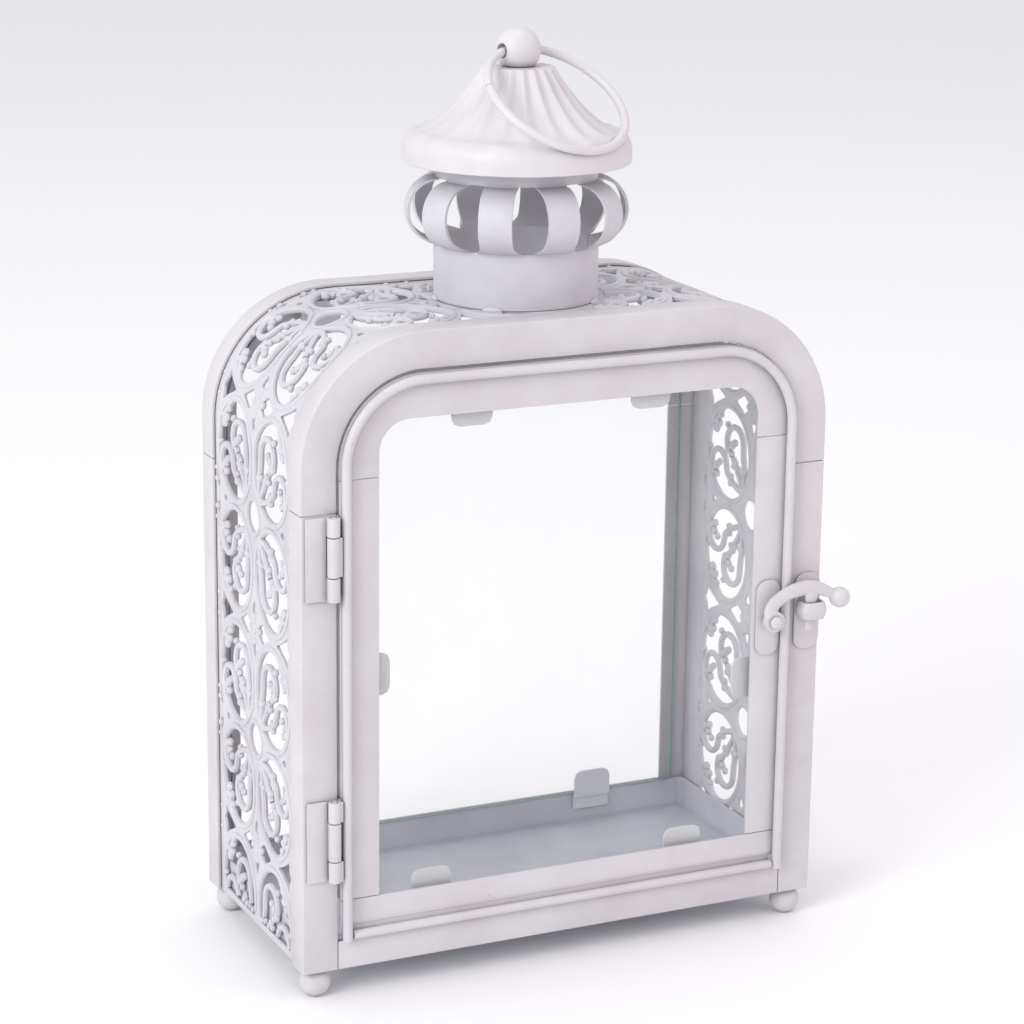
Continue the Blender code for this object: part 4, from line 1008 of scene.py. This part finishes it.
def quarter_beads():
    """Beads of one quarter: across, along and radius in millimetres."""
    # The bud in each curl, the stems, the tip of the spur, then the web outside the lobe
    beads = [(18.6, 21.2, 2.1), (16.1, 23.0, 1.9), (16.2, 19.6, 1.7), (13.8, 24.4, 1.6)]
    beads += [(29.8, 10.8, 2.0), (27.6, 12.8, 1.8), (27.0, 9.8, 1.6), (25.2, 14.6, 1.5)]
    beads += [(13.2, 16.8, 1.8), (11.2, 15.0, 1.4), (14.4, 15.4, 1.4)]
    beads += [(5.0, 15.0, 1.4), (7.6, 15.4, 1.3), (16.4, 8.4, 1.4), (16.0, 11.2, 1.3)]
    beads += [(28.2, 27.4, 2.1), (26.0, 29.6, 1.7), (29.6, 30.2, 1.6), (24.8, 33.0, 1.5)]
    beads += [(11.4, 2.0, 1.4), (2.0, 11.6, 1.3), (8.2, 7.6, 1.4), (19.6, 30.4, 1.4)]
    beads += [(36.2, 5.0, 1.5), (36.4, 9.0, 1.2), (35.4, 36.6, 1.4), (32.6, 19.4, 1.3)]
    return beads


def raised_strokes():
    """All round strokes of the outer face as one mesh."""
    curve = round_curve(2)
    for centre in MEDALLIONS:
        strokes = [
            (line, radius)
            for stroke, radius in quarter_strokes()
            for line in quarters(centre, stroke)
        ]
        eye = [(centre + b, a) for a, b in arc((0.0, 0.0), EYE_RING, 0, 360, 36)]
        strokes.append((eye, 1.0))
        for line, radius in strokes:
            runs = [[]]
            for point in line:
                if room(point) > STROKE_CLEAR:
                    runs[-1].append(point)
                elif runs[-1]:
                    runs.append([])
            for run in runs:
                if len(run) < 3:
                    continue
                path = [wrapped(*point, STRIP_INSET + STROKE_DEPTH) for point in run]
                add_line(curve, path, [radius * MM] * len(path))
    return from_curve(curve)


def raised_beads():
    """All beads of the outer face as one mesh."""
    spots = []
    for centre in MEDALLIONS:
        for across, along, radius in quarter_beads():
            for (spot,) in quarters(centre, [(across, along)]):
                spots.append((*spot, radius * MM))
        middle = centre + TILE_PITCH / 2
        spots.append((middle, 0.0, 2.4 * MM))
        for way in (MM, -MM):
            spots.append((middle + way * 4.4, 0.0, 1.7 * MM))
            spots.append((middle, way * 3.8, 1.6 * MM))
    # Each bead is a short line square to the sheet, as thick as the bead is at each height
    curve = round_curve(2)
    profile = arc((0.0, 0.0), 1.0, -80, 80, 4)
    for along, across, radius in spots:
        if room((along, across)) < radius:
            continue
        depths = [STRIP_INSET + STROKE_DEPTH - rise * BEAD_RISE for _, rise in profile]
        path = [wrapped(along, across, depth) for depth in depths]
        add_line(curve, path, [girth * radius for girth, _ in profile])
    return from_curve(curve)


def build_filigree():
    """The pierced band with its round strokes and beads."""
    shape = bpy.context.scene.lantern_shape
    band = join(pierced_strip(shape), raised_strokes(), raised_beads())
    put(band, "filigree_band", "filigree_enamel")


# Tray and feet
def build_tray():
    """The floor tray and the four ball feet."""
    keep("floor_tray", "tray_enamel", SOFT_EDGE)
    for node in ("foot_front_left", "foot_front_right", "foot_back_left", "foot_back_right"):
        left, right, near, far, low, high = edges(node)
        foot = ball(FOOT_RADIUS, ((left + right) / 2, (near + far) / 2, FOOT_CENTRE))
        foot = soften(sliced(sliced(foot, low, True), high, False), SOFT_EDGE, 30.0, 3)
        for vert in foot.data.vertices:
            vert.co.z = max(vert.co.z, low)
        put(foot, node, "frame_enamel")


# Door
def arch_line(left, right, top, radius, foot, steps):
    """A line up the left side, over two rounded corners and down the right side."""
    line = [(left, foot)]
    line += arc((left + radius, top - radius), radius, 180, 90, steps)
    line += arc((right - radius, top - radius), radius, 90, 0, steps)
    return line + [(right, foot)]


def door_line(inset, foot, steps):
    """The door's outline, drawn in by a distance."""
    sides = (DOOR_LEFT + inset, DOOR_RIGHT - inset)
    return arch_line(*sides, DOOR_TOP - inset, DOOR_CORNER - inset, foot, steps)


def build_door():
    """The door's strips, arch plate, bead and rolled lower rail."""
    shape = bpy.context.scene.lantern_shape
    for hand, x_out, inwards in (("left", DOOR_LEFT, 1), ("right", DOOR_RIGHT, -1)):
        node = "door_%s_strip" % hand
        low, high = edges(node)[4:]
        section = angle_section(
            DOOR_STRIP, DOOR_FLANGE, DOOR_BEND, lambda a, b: (x_out + inwards * a, FRONT + b, low)
        )
        strip = soften(drag(section, (0.0, 0.0, high - low)), FINE_EDGE)
        put(strip, node, "door_enamel", "door")

    steps = shape.corner_steps
    foot = edges("door_arch_plate")[4]
    outer = door_line(0.0, foot, steps)
    inner = arch_line(
        DOOR_LEFT + DOOR_STRIP,
        DOOR_RIGHT - DOOR_STRIP,
        DOOR_TOP - DOOR_HEAD,
        OPENING_CORNER,
        foot,
        steps,
    )
    loop = outer + inner[::-1]
    plate = drag([(x, FRONT, z) for x, z in loop], (0.0, SHEET, 0.0))
    lip = door_line(SHEET, foot, steps)
    flange = drag(
        [(x, FRONT + SHEET / 2, z) for x, z in outer + lip[::-1]],
        (0.0, DOOR_FLANGE - SHEET / 2, 0.0),
    )
    carve(plate, flange, "UNION")
    put(soften(plate, FINE_EDGE, 50.0), "door_arch_plate", "door_enamel", "door")

    line = door_line(BEAD_RADIUS, DOOR_BOTTOM, steps)
    bead_y = FRONT - GAP - BEAD_RADIUS
    bead = wire([(x, bead_y, z) for x, z in line], [BEAD_RADIUS] * len(line), detail=8)
    soften(bead, BEAD_EDGE, 60.0, 3)
    put(bead, "door_bead", "door_enamel", "door")

    left, right, _, _, _, high = edges("door_bottom_rail")
    clear = 2 * (BEAD_RADIUS + GAP)
    roll_left = DOOR_LEFT + clear
    roll_right = DOOR_RIGHT - clear
    roll_centre = (FRONT - HEM_OUT, DOOR_BOTTOM + HEM_RADIUS)
    roll = arc(roll_centre, HEM_RADIUS, 35, 270, 24)
    section = [(FRONT + SHEET, DOOR_BOTTOM), (FRONT + SHEET, DOOR_BOTTOM + 4 * HEM_RADIUS)]
    section += [(FRONT, DOOR_BOTTOM + 4 * HEM_RADIUS)] + roll
    rail = drag([(roll_left, y, z) for y, z in section], (roll_right - roll_left, 0.0, 0.0))
    skirt = block((left, FRONT, DOOR_BOTTOM + 3 * HEM_RADIUS), (right, FRONT + SHEET, high))
    carve(rail, skirt, "UNION")
    put(soften(rail, FINE_EDGE, 50.0), "door_bottom_rail", "door_enamel", "door")


def build_glass():
    """The door's pane and the back pane."""
    shape = bpy.context.scene.lantern_shape
    for node, body, radius in (
        ("door_glass", "door", OPENING_CORNER),
        ("back_glass", "lantern_body", BACK_PANE_CORNER),
    ):
        left, right, near, far, low, high = edges(node)
        line = arch_line(left, right, high, radius, low, shape.corner_steps)
        pane = drag([(x, near, z) for x, z in line], (0.0, far - near, 0.0))
        soften(pane, SOFT_EDGE, 50.0)
        put(pane, node, "window_glass", body)
        pane.data.materials.append(paint("glass_edge"))
        for face in pane.data.polygons:
            face.material_index = 0 if abs(face.normal.y) > 0.9 else 1


def build_clips():
    """The stepped clips that hold both panes."""
    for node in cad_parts:
        if "_clip_" in node:
            keep(node, "clip_enamel", CLIP_EDGE)


# Hinges
def knuckle(x, y, low, high):
    """One bored knuckle."""
    inner = KNUCKLE_RADIUS - SOFT_EDGE
    loop = arc((inner, high - SOFT_EDGE), SOFT_EDGE, 0, 90, 4)
    loop += [(KNUCKLE_BORE, high), (KNUCKLE_BORE, low)]
    loop += arc((inner, low + SOFT_EDGE), SOFT_EDGE, 270, 360, 4)
    return turned(loop, 40, (x, y, 0.0))


def build_hinges():
    """Both hinges: leaves, knuckles and pins."""
    for label, joints in HINGE_SEAMS:
        left, right, near, far, low, high = edges(label + "_hinge_pin")
        x = (left + right) / 2
        y = (near + far) / 2
        seams = [low + joint * MM for joint in joints]
        spans = [(low, seams[0] - GAP / 2), (seams[0] + GAP / 2, seams[1] - GAP / 2)]
        spans += [(seams[1] + GAP / 2, high)]
        outer_spans = [spans[0], spans[2]]
        fixed_spans = outer_spans if label == "upper" else [spans[1]]
        door_spans = [spans[1]] if label == "upper" else outer_spans

        node = label + "_hinge_fixed_leaf"
        leaf_left = edges(node)[0]
        leaf_back = FRONT - GAP
        leaf_front = leaf_back - FIXED_LEAF
        leaf = block((leaf_left, leaf_front, low), (x - KNUCKLE_RADIUS * 0.9, leaf_back, high))
        tongues = [
            block((x - KNUCKLE_RADIUS, leaf_front, a), (x - FIXED_LEAF, leaf_back, b))
            for a, b in fixed_spans
        ]
        parts = [soften(piece, CLIP_EDGE) for piece in [leaf] + tongues]
        parts += [knuckle(x, y, a, b) for a, b in fixed_spans]
        put(join(*parts), node, "fitting_enamel")

        node = label + "_hinge_door_leaf"
        leaf_x = x + KNUCKLE_RADIUS
        far = edges(node)[3]
        leaf = block((leaf_x, FRONT, low), (leaf_x + DOOR_LEAF, far, high))
        tabs = [
            block((x + 1.5 * MM, y - FIXED_LEAF, a), (leaf_x + DOOR_LEAF, y + FIXED_LEAF, b))
            for a, b in door_spans
        ]
        webs = [
            block((leaf_x, y - DOOR_LEAF, a), (leaf_x + DOOR_LEAF, FRONT + SHEET, b))
            for a, b in door_spans
        ]
        parts = [soften(piece, LEAF_EDGE) for piece in [leaf] + tabs + webs]
        parts += [knuckle(x, y, a, b) for a, b in door_spans]
        put(join(*parts), node, "fitting_enamel", "door")

        node = label + "_hinge_pin"
        bpy.ops.object.select_all(action="DESELECT")
        bpy.ops.mesh.primitive_cylinder_add(vertices=32, radius=PIN_RADIUS, depth=high - low)
        pin = bpy.context.object
        with editing(pin):
            bpy.ops.transform.translate(value=(x, y, (low + high) / 2))
        soften(pin, SOFT_EDGE, 50.0, 3)
        put(pin, node, "fitting_enamel")


# Latch
def rod(radius, reach):
    """Loop of a solid round rod for turned(), as long to either side."""
    return [(0.01 * MM, -reach), (radius, -reach), (radius, reach), (0.01 * MM, reach)]


def pressed_bar(rows):
    """A round bar pressed to the hook's thickness."""
    radii = [radius * MM for _, _, radius in rows]
    bar = wire([(x * MM, 0.0, z * MM) for x, z, _ in rows], radii)
    press = Matrix.Diagonal((1.0, HOOK_HALF / max(radii), 1.0, 1.0))
    bar.data.transform(Matrix.Translation((PIVOT[0], HOOK_Y, PIVOT[1])) @ press)
    return bar


def smooth_line(rows, times=3):
    """Round a line by cutting its corners, with the radius at each point carried along."""
    for _ in range(times):
        middle = []
        for a, b in zip(rows, rows[1:]):
            for cut in (0.25, 0.75):
                middle.append(tuple(p * (1 - cut) + q * cut for p, q in zip(a, b)))
        rows = [rows[0]] + middle + [rows[-1]]
    return rows


def build_latch():
    """The latch's plates, staple, hook and rivet."""
    for node, body in (("latch_plate", "door"), ("catch_plate", "lantern_body")):
        left, right, near, far, low, high = edges(node)
        radius = PLATE_CORNER
        loop = arc((left + radius, low + radius), radius, 180, 270, 10)
        loop += arc((right - radius, low + radius), radius, 270, 360, 10)
        loop += arc((right - radius, high - radius), radius, 0, 90, 10)
        loop += arc((left + radius, high - radius), radius, 90, 180, 10)
        plate = drag([(x, near, z) for x, z in loop], (0.0, far - near, 0.0))
        put(soften(plate, PLATE_EDGE), node, "fitting_enamel", body)

    left, right, near, far, low, high = edges("catch_staple")
    radius = STAPLE_CORNER
    strap = arc((left + radius, near + radius), radius, 180, 270, 10)
    strap += arc((right - radius, near + radius), radius, 270, 360, 10)
    hollow = arc((right - radius, near + radius), radius - SHEET, 360, 270, 10)
    hollow += arc((left + radius, near + radius), radius - SHEET, 270, 180, 10)
    loop = [(left, far)] + strap + [(right, far), (right - SHEET, far)] + hollow
    loop += [(left + SHEET, far)]
    rise = (0.0, 0.0, (high - low) / STAPLE_STEPS)
    staple = drag([(x, y, low) for x, y in loop], *[rise] * STAPLE_STEPS)
    # The strap bulges like a barrel
    middle = (left + right) / 2
    for vert in staple.data.vertices:
        share = (vert.co.z - low) / (high - low)
        draw_in = 1.0 - STAPLE_TAPER * (2 * share - 1) ** 2
        vert.co.x = middle + (vert.co.x - middle) * draw_in
        vert.co.y = far + (vert.co.y - far) * (0.5 + draw_in / 2)
    soften(staple, STAPLE_EDGE, 50.0, 3)
    put(staple, "catch_staple", "fitting_enamel")

    disc = arc(PIVOT, HOOK_EYE, 0, 350, 35)
    hook = drag([(x, HOOK_Y - HOOK_HALF, z) for x, z in disc], (0.0, 2 * HOOK_HALF, 0.0))
    for rows in (HOOK_ARM, HOOK_PRONG):
        carve(hook, pressed_bar(smooth_line(rows)), "UNION")
    knob = ball(HOOK_BALL, (PIVOT[0] + HOOK_KNOB[0], HOOK_Y, PIVOT[1] + HOOK_KNOB[1]))
    carve(hook, knob, "UNION")
    modify(hook, "REMESH", mode="VOXEL", voxel_size=HOOK_GRAIN)
    modify(hook, "SMOOTH", factor=0.5, iterations=10)
    bore = turned(rod(HOOK_BORE, 5 * MM), 32)
    lay = Matrix.Rotation(math.pi / 2, 4, "X")
    bore.data.transform(Matrix.Translation((PIVOT[0], HOOK_Y, PIVOT[1])) @ lay)
    carve(hook, bore)
    put(hook, "latch_hook", "fitting_enamel", "latch", smooth=50.0)

    near, far = edges("latch_rivet")[2:4]
    head = near + RIVET_DOME
    dome = arc((0.0, 0.0), (RIVET_HEAD, RIVET_DOME), 88, 0, 14)
    loop = [(radius, height - head) for radius, height in dome]
    hook_back = HOOK_Y + HOOK_HALF + GAP
    loop += [(RIVET_SHANK, -head), (RIVET_SHANK, -hook_back), (RIVET_BOSS, -hook_back)]
    loop += [(RIVET_BOSS, -far), (0.1 * MM, -far)]
    rivet = turned(loop, 48)
    rivet.data.transform(Matrix.Translation((PIVOT[0], 0.0, PIVOT[1])) @ lay)
    soften(rivet, CLIP_EDGE, 50.0)
    put(rivet, "latch_rivet", "fitting_enamel", "door")


# Chimney
def build_chimney():
    """The rolled chimney: collar, strips pushed out between slits, and neck."""
    shape = bpy.context.scene.lantern_shape
    bottom, top = edges("chimney_cage")[4:]
    middle = (COLLAR_TOP + STRIP_TOP) / 2
    half = (STRIP_TOP - COLLAR_TOP) / 2
    base = (COLLAR_RADIUS + NECK_RADIUS) / 2
    inside = NECK_RADIUS - SHEET
    reach = BULGE_RADIUS - base
    bulge = arc((base, middle), (reach, half), BULGE_DEGREES, -BULGE_DEGREES, 30)
    hollow = (reach - SHEET, half - SHEET * 0.6)
    inner = arc((base, middle), hollow, -BULGE_DEGREES, BULGE_DEGREES, 30)
    loop = [(NECK_RADIUS, top), (NECK_RADIUS, STRIP_TOP)] + bulge
    loop += [(COLLAR_RADIUS, COLLAR_TOP), (COLLAR_RADIUS, bottom)]
    loop += [(COLLAR_RADIUS - SHEET, bottom), (COLLAR_RADIUS - SHEET, COLLAR_TOP)]
    loop += [(max(radius, inside), z) for radius, z in inner]
    loop += [(inside, STRIP_TOP), (inside, top)]
    cage = turned(loop, shape.round_steps * 2 // 3)
    # The windows widen outwards, so that straight strips are left between them
    spread = math.tan(math.pi / STRIP_COUNT)
    narrow = (WINDOW_NEAR - WINDOW_APEX) * spread
    widening = (WINDOW_FAR - WINDOW_APEX) / (WINDOW_NEAR - WINDOW_APEX)
    depth = (WINDOW_FAR - WINDOW_NEAR, 0.0, 0.0)
    # Rounded below, cut straight at the neck
    lower = arc((0.0, COLLAR_TOP + WINDOW_CORNER), (narrow, WINDOW_CORNER), 180, 360, 16)
    upper = [(narrow, STRIP_TOP + WINDOW_OVERRUN), (-narrow, STRIP_TOP + WINDOW_OVERRUN)]
    window = outline([(WINDOW_NEAR, y, z) for y, z in lower + upper])
    with editing(window):
        bpy.ops.mesh.extrude_region_move(TRANSFORM_OT_translate={"value": depth})
        bpy.ops.transform.resize(
            value=(1.0, widening, 1.0), center_override=(WINDOW_FAR, 0.0, middle)
        )
        tidy_normals()
    turns = [2 * math.pi * i / STRIP_COUNT for i in range(1, STRIP_COUNT)]
    carve(cage, join(*copies(window, turns)))
    soften(cage, degrees=50.0)
    blobs = []
    for degrees, size in WELDS:
        angle = math.radians(degrees)
        blob = ball(size * MM, (0.0, 0.0, 0.0), 24, 14)
        spot = Vector((math.cos(angle), math.sin(angle), 0.0)) * (COLLAR_RADIUS + 0.1 * MM)
        spot.z = BODY_TOP - STRIP_INSET + 0.3 * MM
        flatten = Matrix.Rotation(angle, 4, "Z") @ Matrix.Diagonal((0.55, 1.5, 0.5, 1.0))
        blob.data.transform(Matrix.Translation(spot) @ flatten)
        blobs.append(blob)
    seam = soften(
        block(
            (COLLAR_RADIUS - 2.0 * MM, -SEAM_HALF, bottom + SHEET),
            (COLLAR_RADIUS - 0.9 * MM, SEAM_HALF, COLLAR_TOP - SHEET),
        )
    )
    seam.data.transform(Matrix.Rotation(SEAM_ANGLE, 4, "Z"))
    cage = join(cage, seam, *blobs)
    put(cage, "chimney_cage", "filigree_enamel")


# Cap
def cap_height(radius):
    """Height of the bell's skin above the lower edge of its rim."""
    share = (CAP_FOOT[0] - radius) / (CAP_FOOT[0] - CAP_EDGE[0])
    return CAP_FOOT[1] + (CAP_EDGE[1] - CAP_FOOT[1]) * share**CAP_SWEEP


def flute(radius, angle, depth):
    """Depth of the wide channels between the cap's narrow ridges."""
    grown = (radius - CAP_EDGE[0]) / FLUTE_RUN_IN
    run_in = min(1.0, FLUTE_START + (1.0 - FLUTE_START) * grown)
    run_out = max(0.0, min(1.0, (FLUTE_END - radius) / FLUTE_RUN_OUT))
    run_out = run_out * run_out * (3 - 2 * run_out)
    channel = (0.5 - 0.5 * math.cos(FLUTE_COUNT * angle)) ** FLUTE_WIDENING
    return depth * run_in * run_out * channel


def build_cap():
    """The fluted bell, from its plateau down to the plain rim."""
    shape = bpy.context.scene.lantern_shape
    width = CAP_FOOT[0] - CAP_EDGE[0]
    rings = [CAP_EDGE[0] + width * i / CAP_RINGS for i in range(CAP_RINGS + 1)]
    skin = [(radius, cap_height(radius)) for radius in rings]
    skin += [(radius * MM, height * MM) for radius, height in CAP_SHOULDER]
    skin += [(CAP_RIM_RADIUS, 2.5 * MM), (CAP_RIM_RADIUS, 0.25 * MM)]
    skin += [(CAP_RIM_RADIUS - SOFT_EDGE, 0.0)]
    lining = [(CAP_RIM_RADIUS - SHEET, 0.0), (CAP_RIM_RADIUS - SHEET, 4.8 * MM)]
    lining += [(37.4 * MM, 8.2 * MM)]
    lining += [(r - 0.55 * MM, h - 0.95 * MM) for r, h in reversed(skin[:CAP_RINGS])]
    crown = [(0.2 * MM, CAP_EDGE[1] - SHEET), (0.2 * MM, CAP_EDGE[1])]
    crown += [(CAP_EDGE[0] * i / 8, CAP_EDGE[1]) for i in range(1, 8)]
    crown += [(CAP_EDGE[0] - 0.35 * MM, CAP_EDGE[1] - 0.02 * MM)]
    loop = [(r, CAP_BOTTOM + h) for r, h in crown + skin + lining]
    cap = turned(loop, shape.round_steps)
    for vert in cap.data.vertices:
        radius = math.hypot(vert.co.x, vert.co.y)
        if CAP_PLATEAU < radius < FLUTE_END:
            angle = math.atan2(vert.co.y, vert.co.x)
            held = min(1.0, (radius - CAP_PLATEAU) / (CAP_EDGE[0] * 0.13))
            scale = 1.0 - flute(radius, angle, shape.flute_depth) * held / radius
            vert.co.x *= scale
            vert.co.y *= scale
    cap.data.update()
    put(cap, "cap", "cap_enamel", smooth=50.0)


def build_finial():
    """The bored ball on the cap."""
    centre = (0.0, 0.0, BALL_HEIGHT)
    knob = ball(BALL_RADIUS, centre, 72, 48)
    sliced(knob, edges("finial_ball")[4], True)
    bore = turned(rod(BALL_BORE, BALL_BORE_REACH), 40)
    facing = Matrix.Rotation(RING_TURN, 4, "Z") @ Matrix.Rotation(math.pi / 2, 4, "Y")
    bore.data.transform(Matrix.Translation(centre) @ facing)
    carve(knob, bore)
    soften(knob, PLATE_EDGE, 40.0, 3)
    put(knob, "finial_ball", "cap_enamel")


def build_ring():
    """The carry ring, a bent wire whose two ends meet at a butt joint."""
    across = Vector((math.cos(RING_TURN), math.sin(RING_TURN), 0.0))
    forward = Vector((math.sin(RING_TURN), -math.cos(RING_TURN), 0.0))
    fall = forward * math.cos(RING_LEAN) + Vector((0.0, 0.0, math.sin(RING_LEAN)))
    centre = Vector((0.0, 0.0, BALL_HEIGHT)) + fall * (RING_RADIUS - RING_SAG)
    slit = RING_SLIT / RING_RADIUS
    points = []
    for step in range(RING_STEPS + 1):
        angle = RING_JOINT + slit + (2 * math.pi - 2 * slit) * step / RING_STEPS
        points.append(centre + (across * math.cos(angle) + fall * math.sin(angle)) * RING_RADIUS)
    ring = wire(points, [RING_WIRE] * len(points), detail=8)
    soften(ring, WIRE_EDGE, 60.0)
    put(ring, "carry_ring", "cap_enamel", "ring")


# Stage
def build_stage():
    """Pale floor, soft light and the camera at the photograph's angle."""
    scene = bpy.context.scene
    stage = scene.lantern_stage
    bpy.ops.object.select_all(action="DESELECT")
    bpy.ops.mesh.primitive_plane_add(size=14.0, location=(0.0, 0.0, 0.0))
    floor = bpy.context.object
    floor.name = "studio_floor"
    floor.data.materials.append(studio_paper("studio_paper", stage.floor))

    scene.view_settings.view_transform = "Standard"
    world = scene.world or bpy.data.worlds.new("studio")
    scene.world = world
    world.use_nodes = True
    sky = world.node_tree.nodes["Background"]
    sky.inputs["Color"].default_value = (*srgb("#FAFAFC"), 1.0)
    sky.inputs["Strength"].default_value = stage.sky

    for name, spot, size, power, tint in (
        ("key_light", (-1.8, -0.9, 1.2), 1.2, stage.key, "#FFFFFF"),
        ("fill_light", (1.6, -1.0, 0.8), 1.4, stage.fill, "#FFC8DA"),
        ("top_light", (0.1, 0.2, 1.9), 1.2, stage.key * 0.2, "#FFFFFF"),
    ):
        bpy.ops.object.light_add(type="AREA", location=spot)
        lamp = bpy.context.object
        lamp.name = name
        lamp.data.shape = "DISK"
        lamp.data.size = size
        lamp.data.energy = power
        lamp.data.color = srgb(tint)
        aim = Vector((0.0, 0.0, 0.15)) - Vector(spot)
        lamp.rotation_euler = aim.to_track_quat("-Z", "Y").to_euler()

    right = Vector((math.cos(CAMERA_AZIMUTH), -math.sin(CAMERA_AZIMUTH), 0.0))
    level = Vector((-math.sin(CAMERA_AZIMUTH), -math.cos(CAMERA_AZIMUTH), 0.0))
    back = level * math.cos(CAMERA_ELEVATION) + Vector((0.0, 0.0, math.sin(CAMERA_ELEVATION)))
    up = back.cross(right)
    across = right * math.cos(CAMERA_ROLL) + up * math.sin(CAMERA_ROLL)
    upright = up * math.cos(CAMERA_ROLL) - right * math.sin(CAMERA_ROLL)
    bpy.ops.object.camera_add(location=CAMERA_PLACE)
    camera = bpy.context.object
    camera.name = "studio_camera"
    camera.rotation_euler = Matrix((across, upright, back)).transposed().to_euler()
    camera.data.lens = CAMERA_LENS
    camera.data.sensor_width = CAMERA_SENSOR
    camera.data.shift_x, camera.data.shift_y = CAMERA_SHIFT
    scene.camera = camera


# One operator for each group of pieces
class LANTERN_OT_frames(bpy.types.Operator):
    """Build the front and back frames"""

    bl_idname = "lantern.frames"
    bl_label = "Frames"

    def execute(self, context):
        build_frames()
        return {"FINISHED"}


class LANTERN_OT_filigree(bpy.types.Operator):
    """Build the pierced band"""

    bl_idname = "lantern.filigree"
    bl_label = "Filigree band"

    def execute(self, context):
        build_filigree()
        return {"FINISHED"}


class LANTERN_OT_tray(bpy.types.Operator):
    """Build the floor tray and the feet"""

    bl_idname = "lantern.tray"
    bl_label = "Tray and feet"

    def execute(self, context):
        build_tray()
        return {"FINISHED"}


class LANTERN_OT_door(bpy.types.Operator):
    """Build the door's metal"""

    bl_idname = "lantern.door"
    bl_label = "Door"

    def execute(self, context):
        build_door()
        return {"FINISHED"}


class LANTERN_OT_glass(bpy.types.Operator):
    """Build both panes"""

    bl_idname = "lantern.glass"
    bl_label = "Glass"

    def execute(self, context):
        build_glass()
        return {"FINISHED"}


class LANTERN_OT_clips(bpy.types.Operator):
    """Finish the clips that hold the panes"""

    bl_idname = "lantern.clips"
    bl_label = "Clips"

    def execute(self, context):
        build_clips()
        return {"FINISHED"}


class LANTERN_OT_hinges(bpy.types.Operator):
    """Build both hinges"""

    bl_idname = "lantern.hinges"
    bl_label = "Hinges"

    def execute(self, context):
        build_hinges()
        return {"FINISHED"}


class LANTERN_OT_latch(bpy.types.Operator):
    """Build the hook latch"""

    bl_idname = "lantern.latch"
    bl_label = "Latch"

    def execute(self, context):
        build_latch()
        return {"FINISHED"}


class LANTERN_OT_chimney(bpy.types.Operator):
    """Build the slit chimney"""

    bl_idname = "lantern.chimney"
    bl_label = "Chimney"

    def execute(self, context):
        build_chimney()
        return {"FINISHED"}


class LANTERN_OT_cap(bpy.types.Operator):
    """Build the fluted cap"""

    bl_idname = "lantern.cap"
    bl_label = "Cap"

    def execute(self, context):
        build_cap()
        return {"FINISHED"}


class LANTERN_OT_finial(bpy.types.Operator):
    """Build the finial ball"""

    bl_idname = "lantern.finial"
    bl_label = "Finial ball"

    def execute(self, context):
        build_finial()
        return {"FINISHED"}


class LANTERN_OT_ring(bpy.types.Operator):
    """Build the carry ring"""

    bl_idname = "lantern.ring"
    bl_label = "Carry ring"

    def execute(self, context):
        build_ring()
        return {"FINISHED"}


class LANTERN_OT_stage(bpy.types.Operator):
    """Set up the floor, the light and the camera"""

    bl_idname = "lantern.stage"
    bl_label = "Stage"

    def execute(self, context):
        build_stage()
        return {"FINISHED"}


OPERATORS = (
    LANTERN_OT_frames,
    LANTERN_OT_filigree,
    LANTERN_OT_tray,
    LANTERN_OT_door,
    LANTERN_OT_glass,
    LANTERN_OT_clips,
    LANTERN_OT_hinges,
    LANTERN_OT_latch,
    LANTERN_OT_chimney,
    LANTERN_OT_cap,
    LANTERN_OT_finial,
    LANTERN_OT_ring,
    LANTERN_OT_stage,
)


class LANTERN_PT_panel(bpy.types.Panel):
    """Sidebar panel that lists the lantern's pieces"""

    bl_idname = "LANTERN_PT_panel"
    bl_label = "Metal Lantern"
    bl_space_type = "VIEW_3D"
    bl_region_type = "UI"
    bl_category = "Lantern"

    def draw(self, context):
        for group in ("lantern_shape", "lantern_finish", "lantern_stage"):
            settings = getattr(context.scene, group)
            box = self.layout.box()
            for name in settings.__annotations__:
                box.prop(settings, name)
        for operator in OPERATORS:
            self.layout.operator(operator.bl_idname)


GROUPS = (
    ("lantern_shape", LanternShape),
    ("lantern_finish", LanternFinish),
    ("lantern_stage", LanternStage),
)


def register():
    """Make the settings, the operators and the panel known."""
    for name, group in GROUPS:
        bpy.utils.register_class(group)
        setattr(bpy.types.Scene, name, bpy.props.PointerProperty(type=group))
    for item in OPERATORS + (LANTERN_PT_panel,):
        bpy.utils.register_class(item)


def unregister():
    """Take them away again."""
    for item in reversed(OPERATORS + (LANTERN_PT_panel,)):
        bpy.utils.unregister_class(item)
    for name, group in reversed(GROUPS):
        delattr(bpy.types.Scene, name)
        bpy.utils.unregister_class(group)


def main():
    """Build every piece in order."""
    register()
    bpy.ops.lantern.frames()
    bpy.ops.lantern.filigree()
    bpy.ops.lantern.tray()
    bpy.ops.lantern.door()
    bpy.ops.lantern.glass()
    bpy.ops.lantern.clips()
    bpy.ops.lantern.hinges()
    bpy.ops.lantern.latch()
    bpy.ops.lantern.chimney()
    bpy.ops.lantern.cap()
    bpy.ops.lantern.finial()
    bpy.ops.lantern.ring()
    bpy.ops.lantern.stage()


if __name__ == "__main__":
    main()
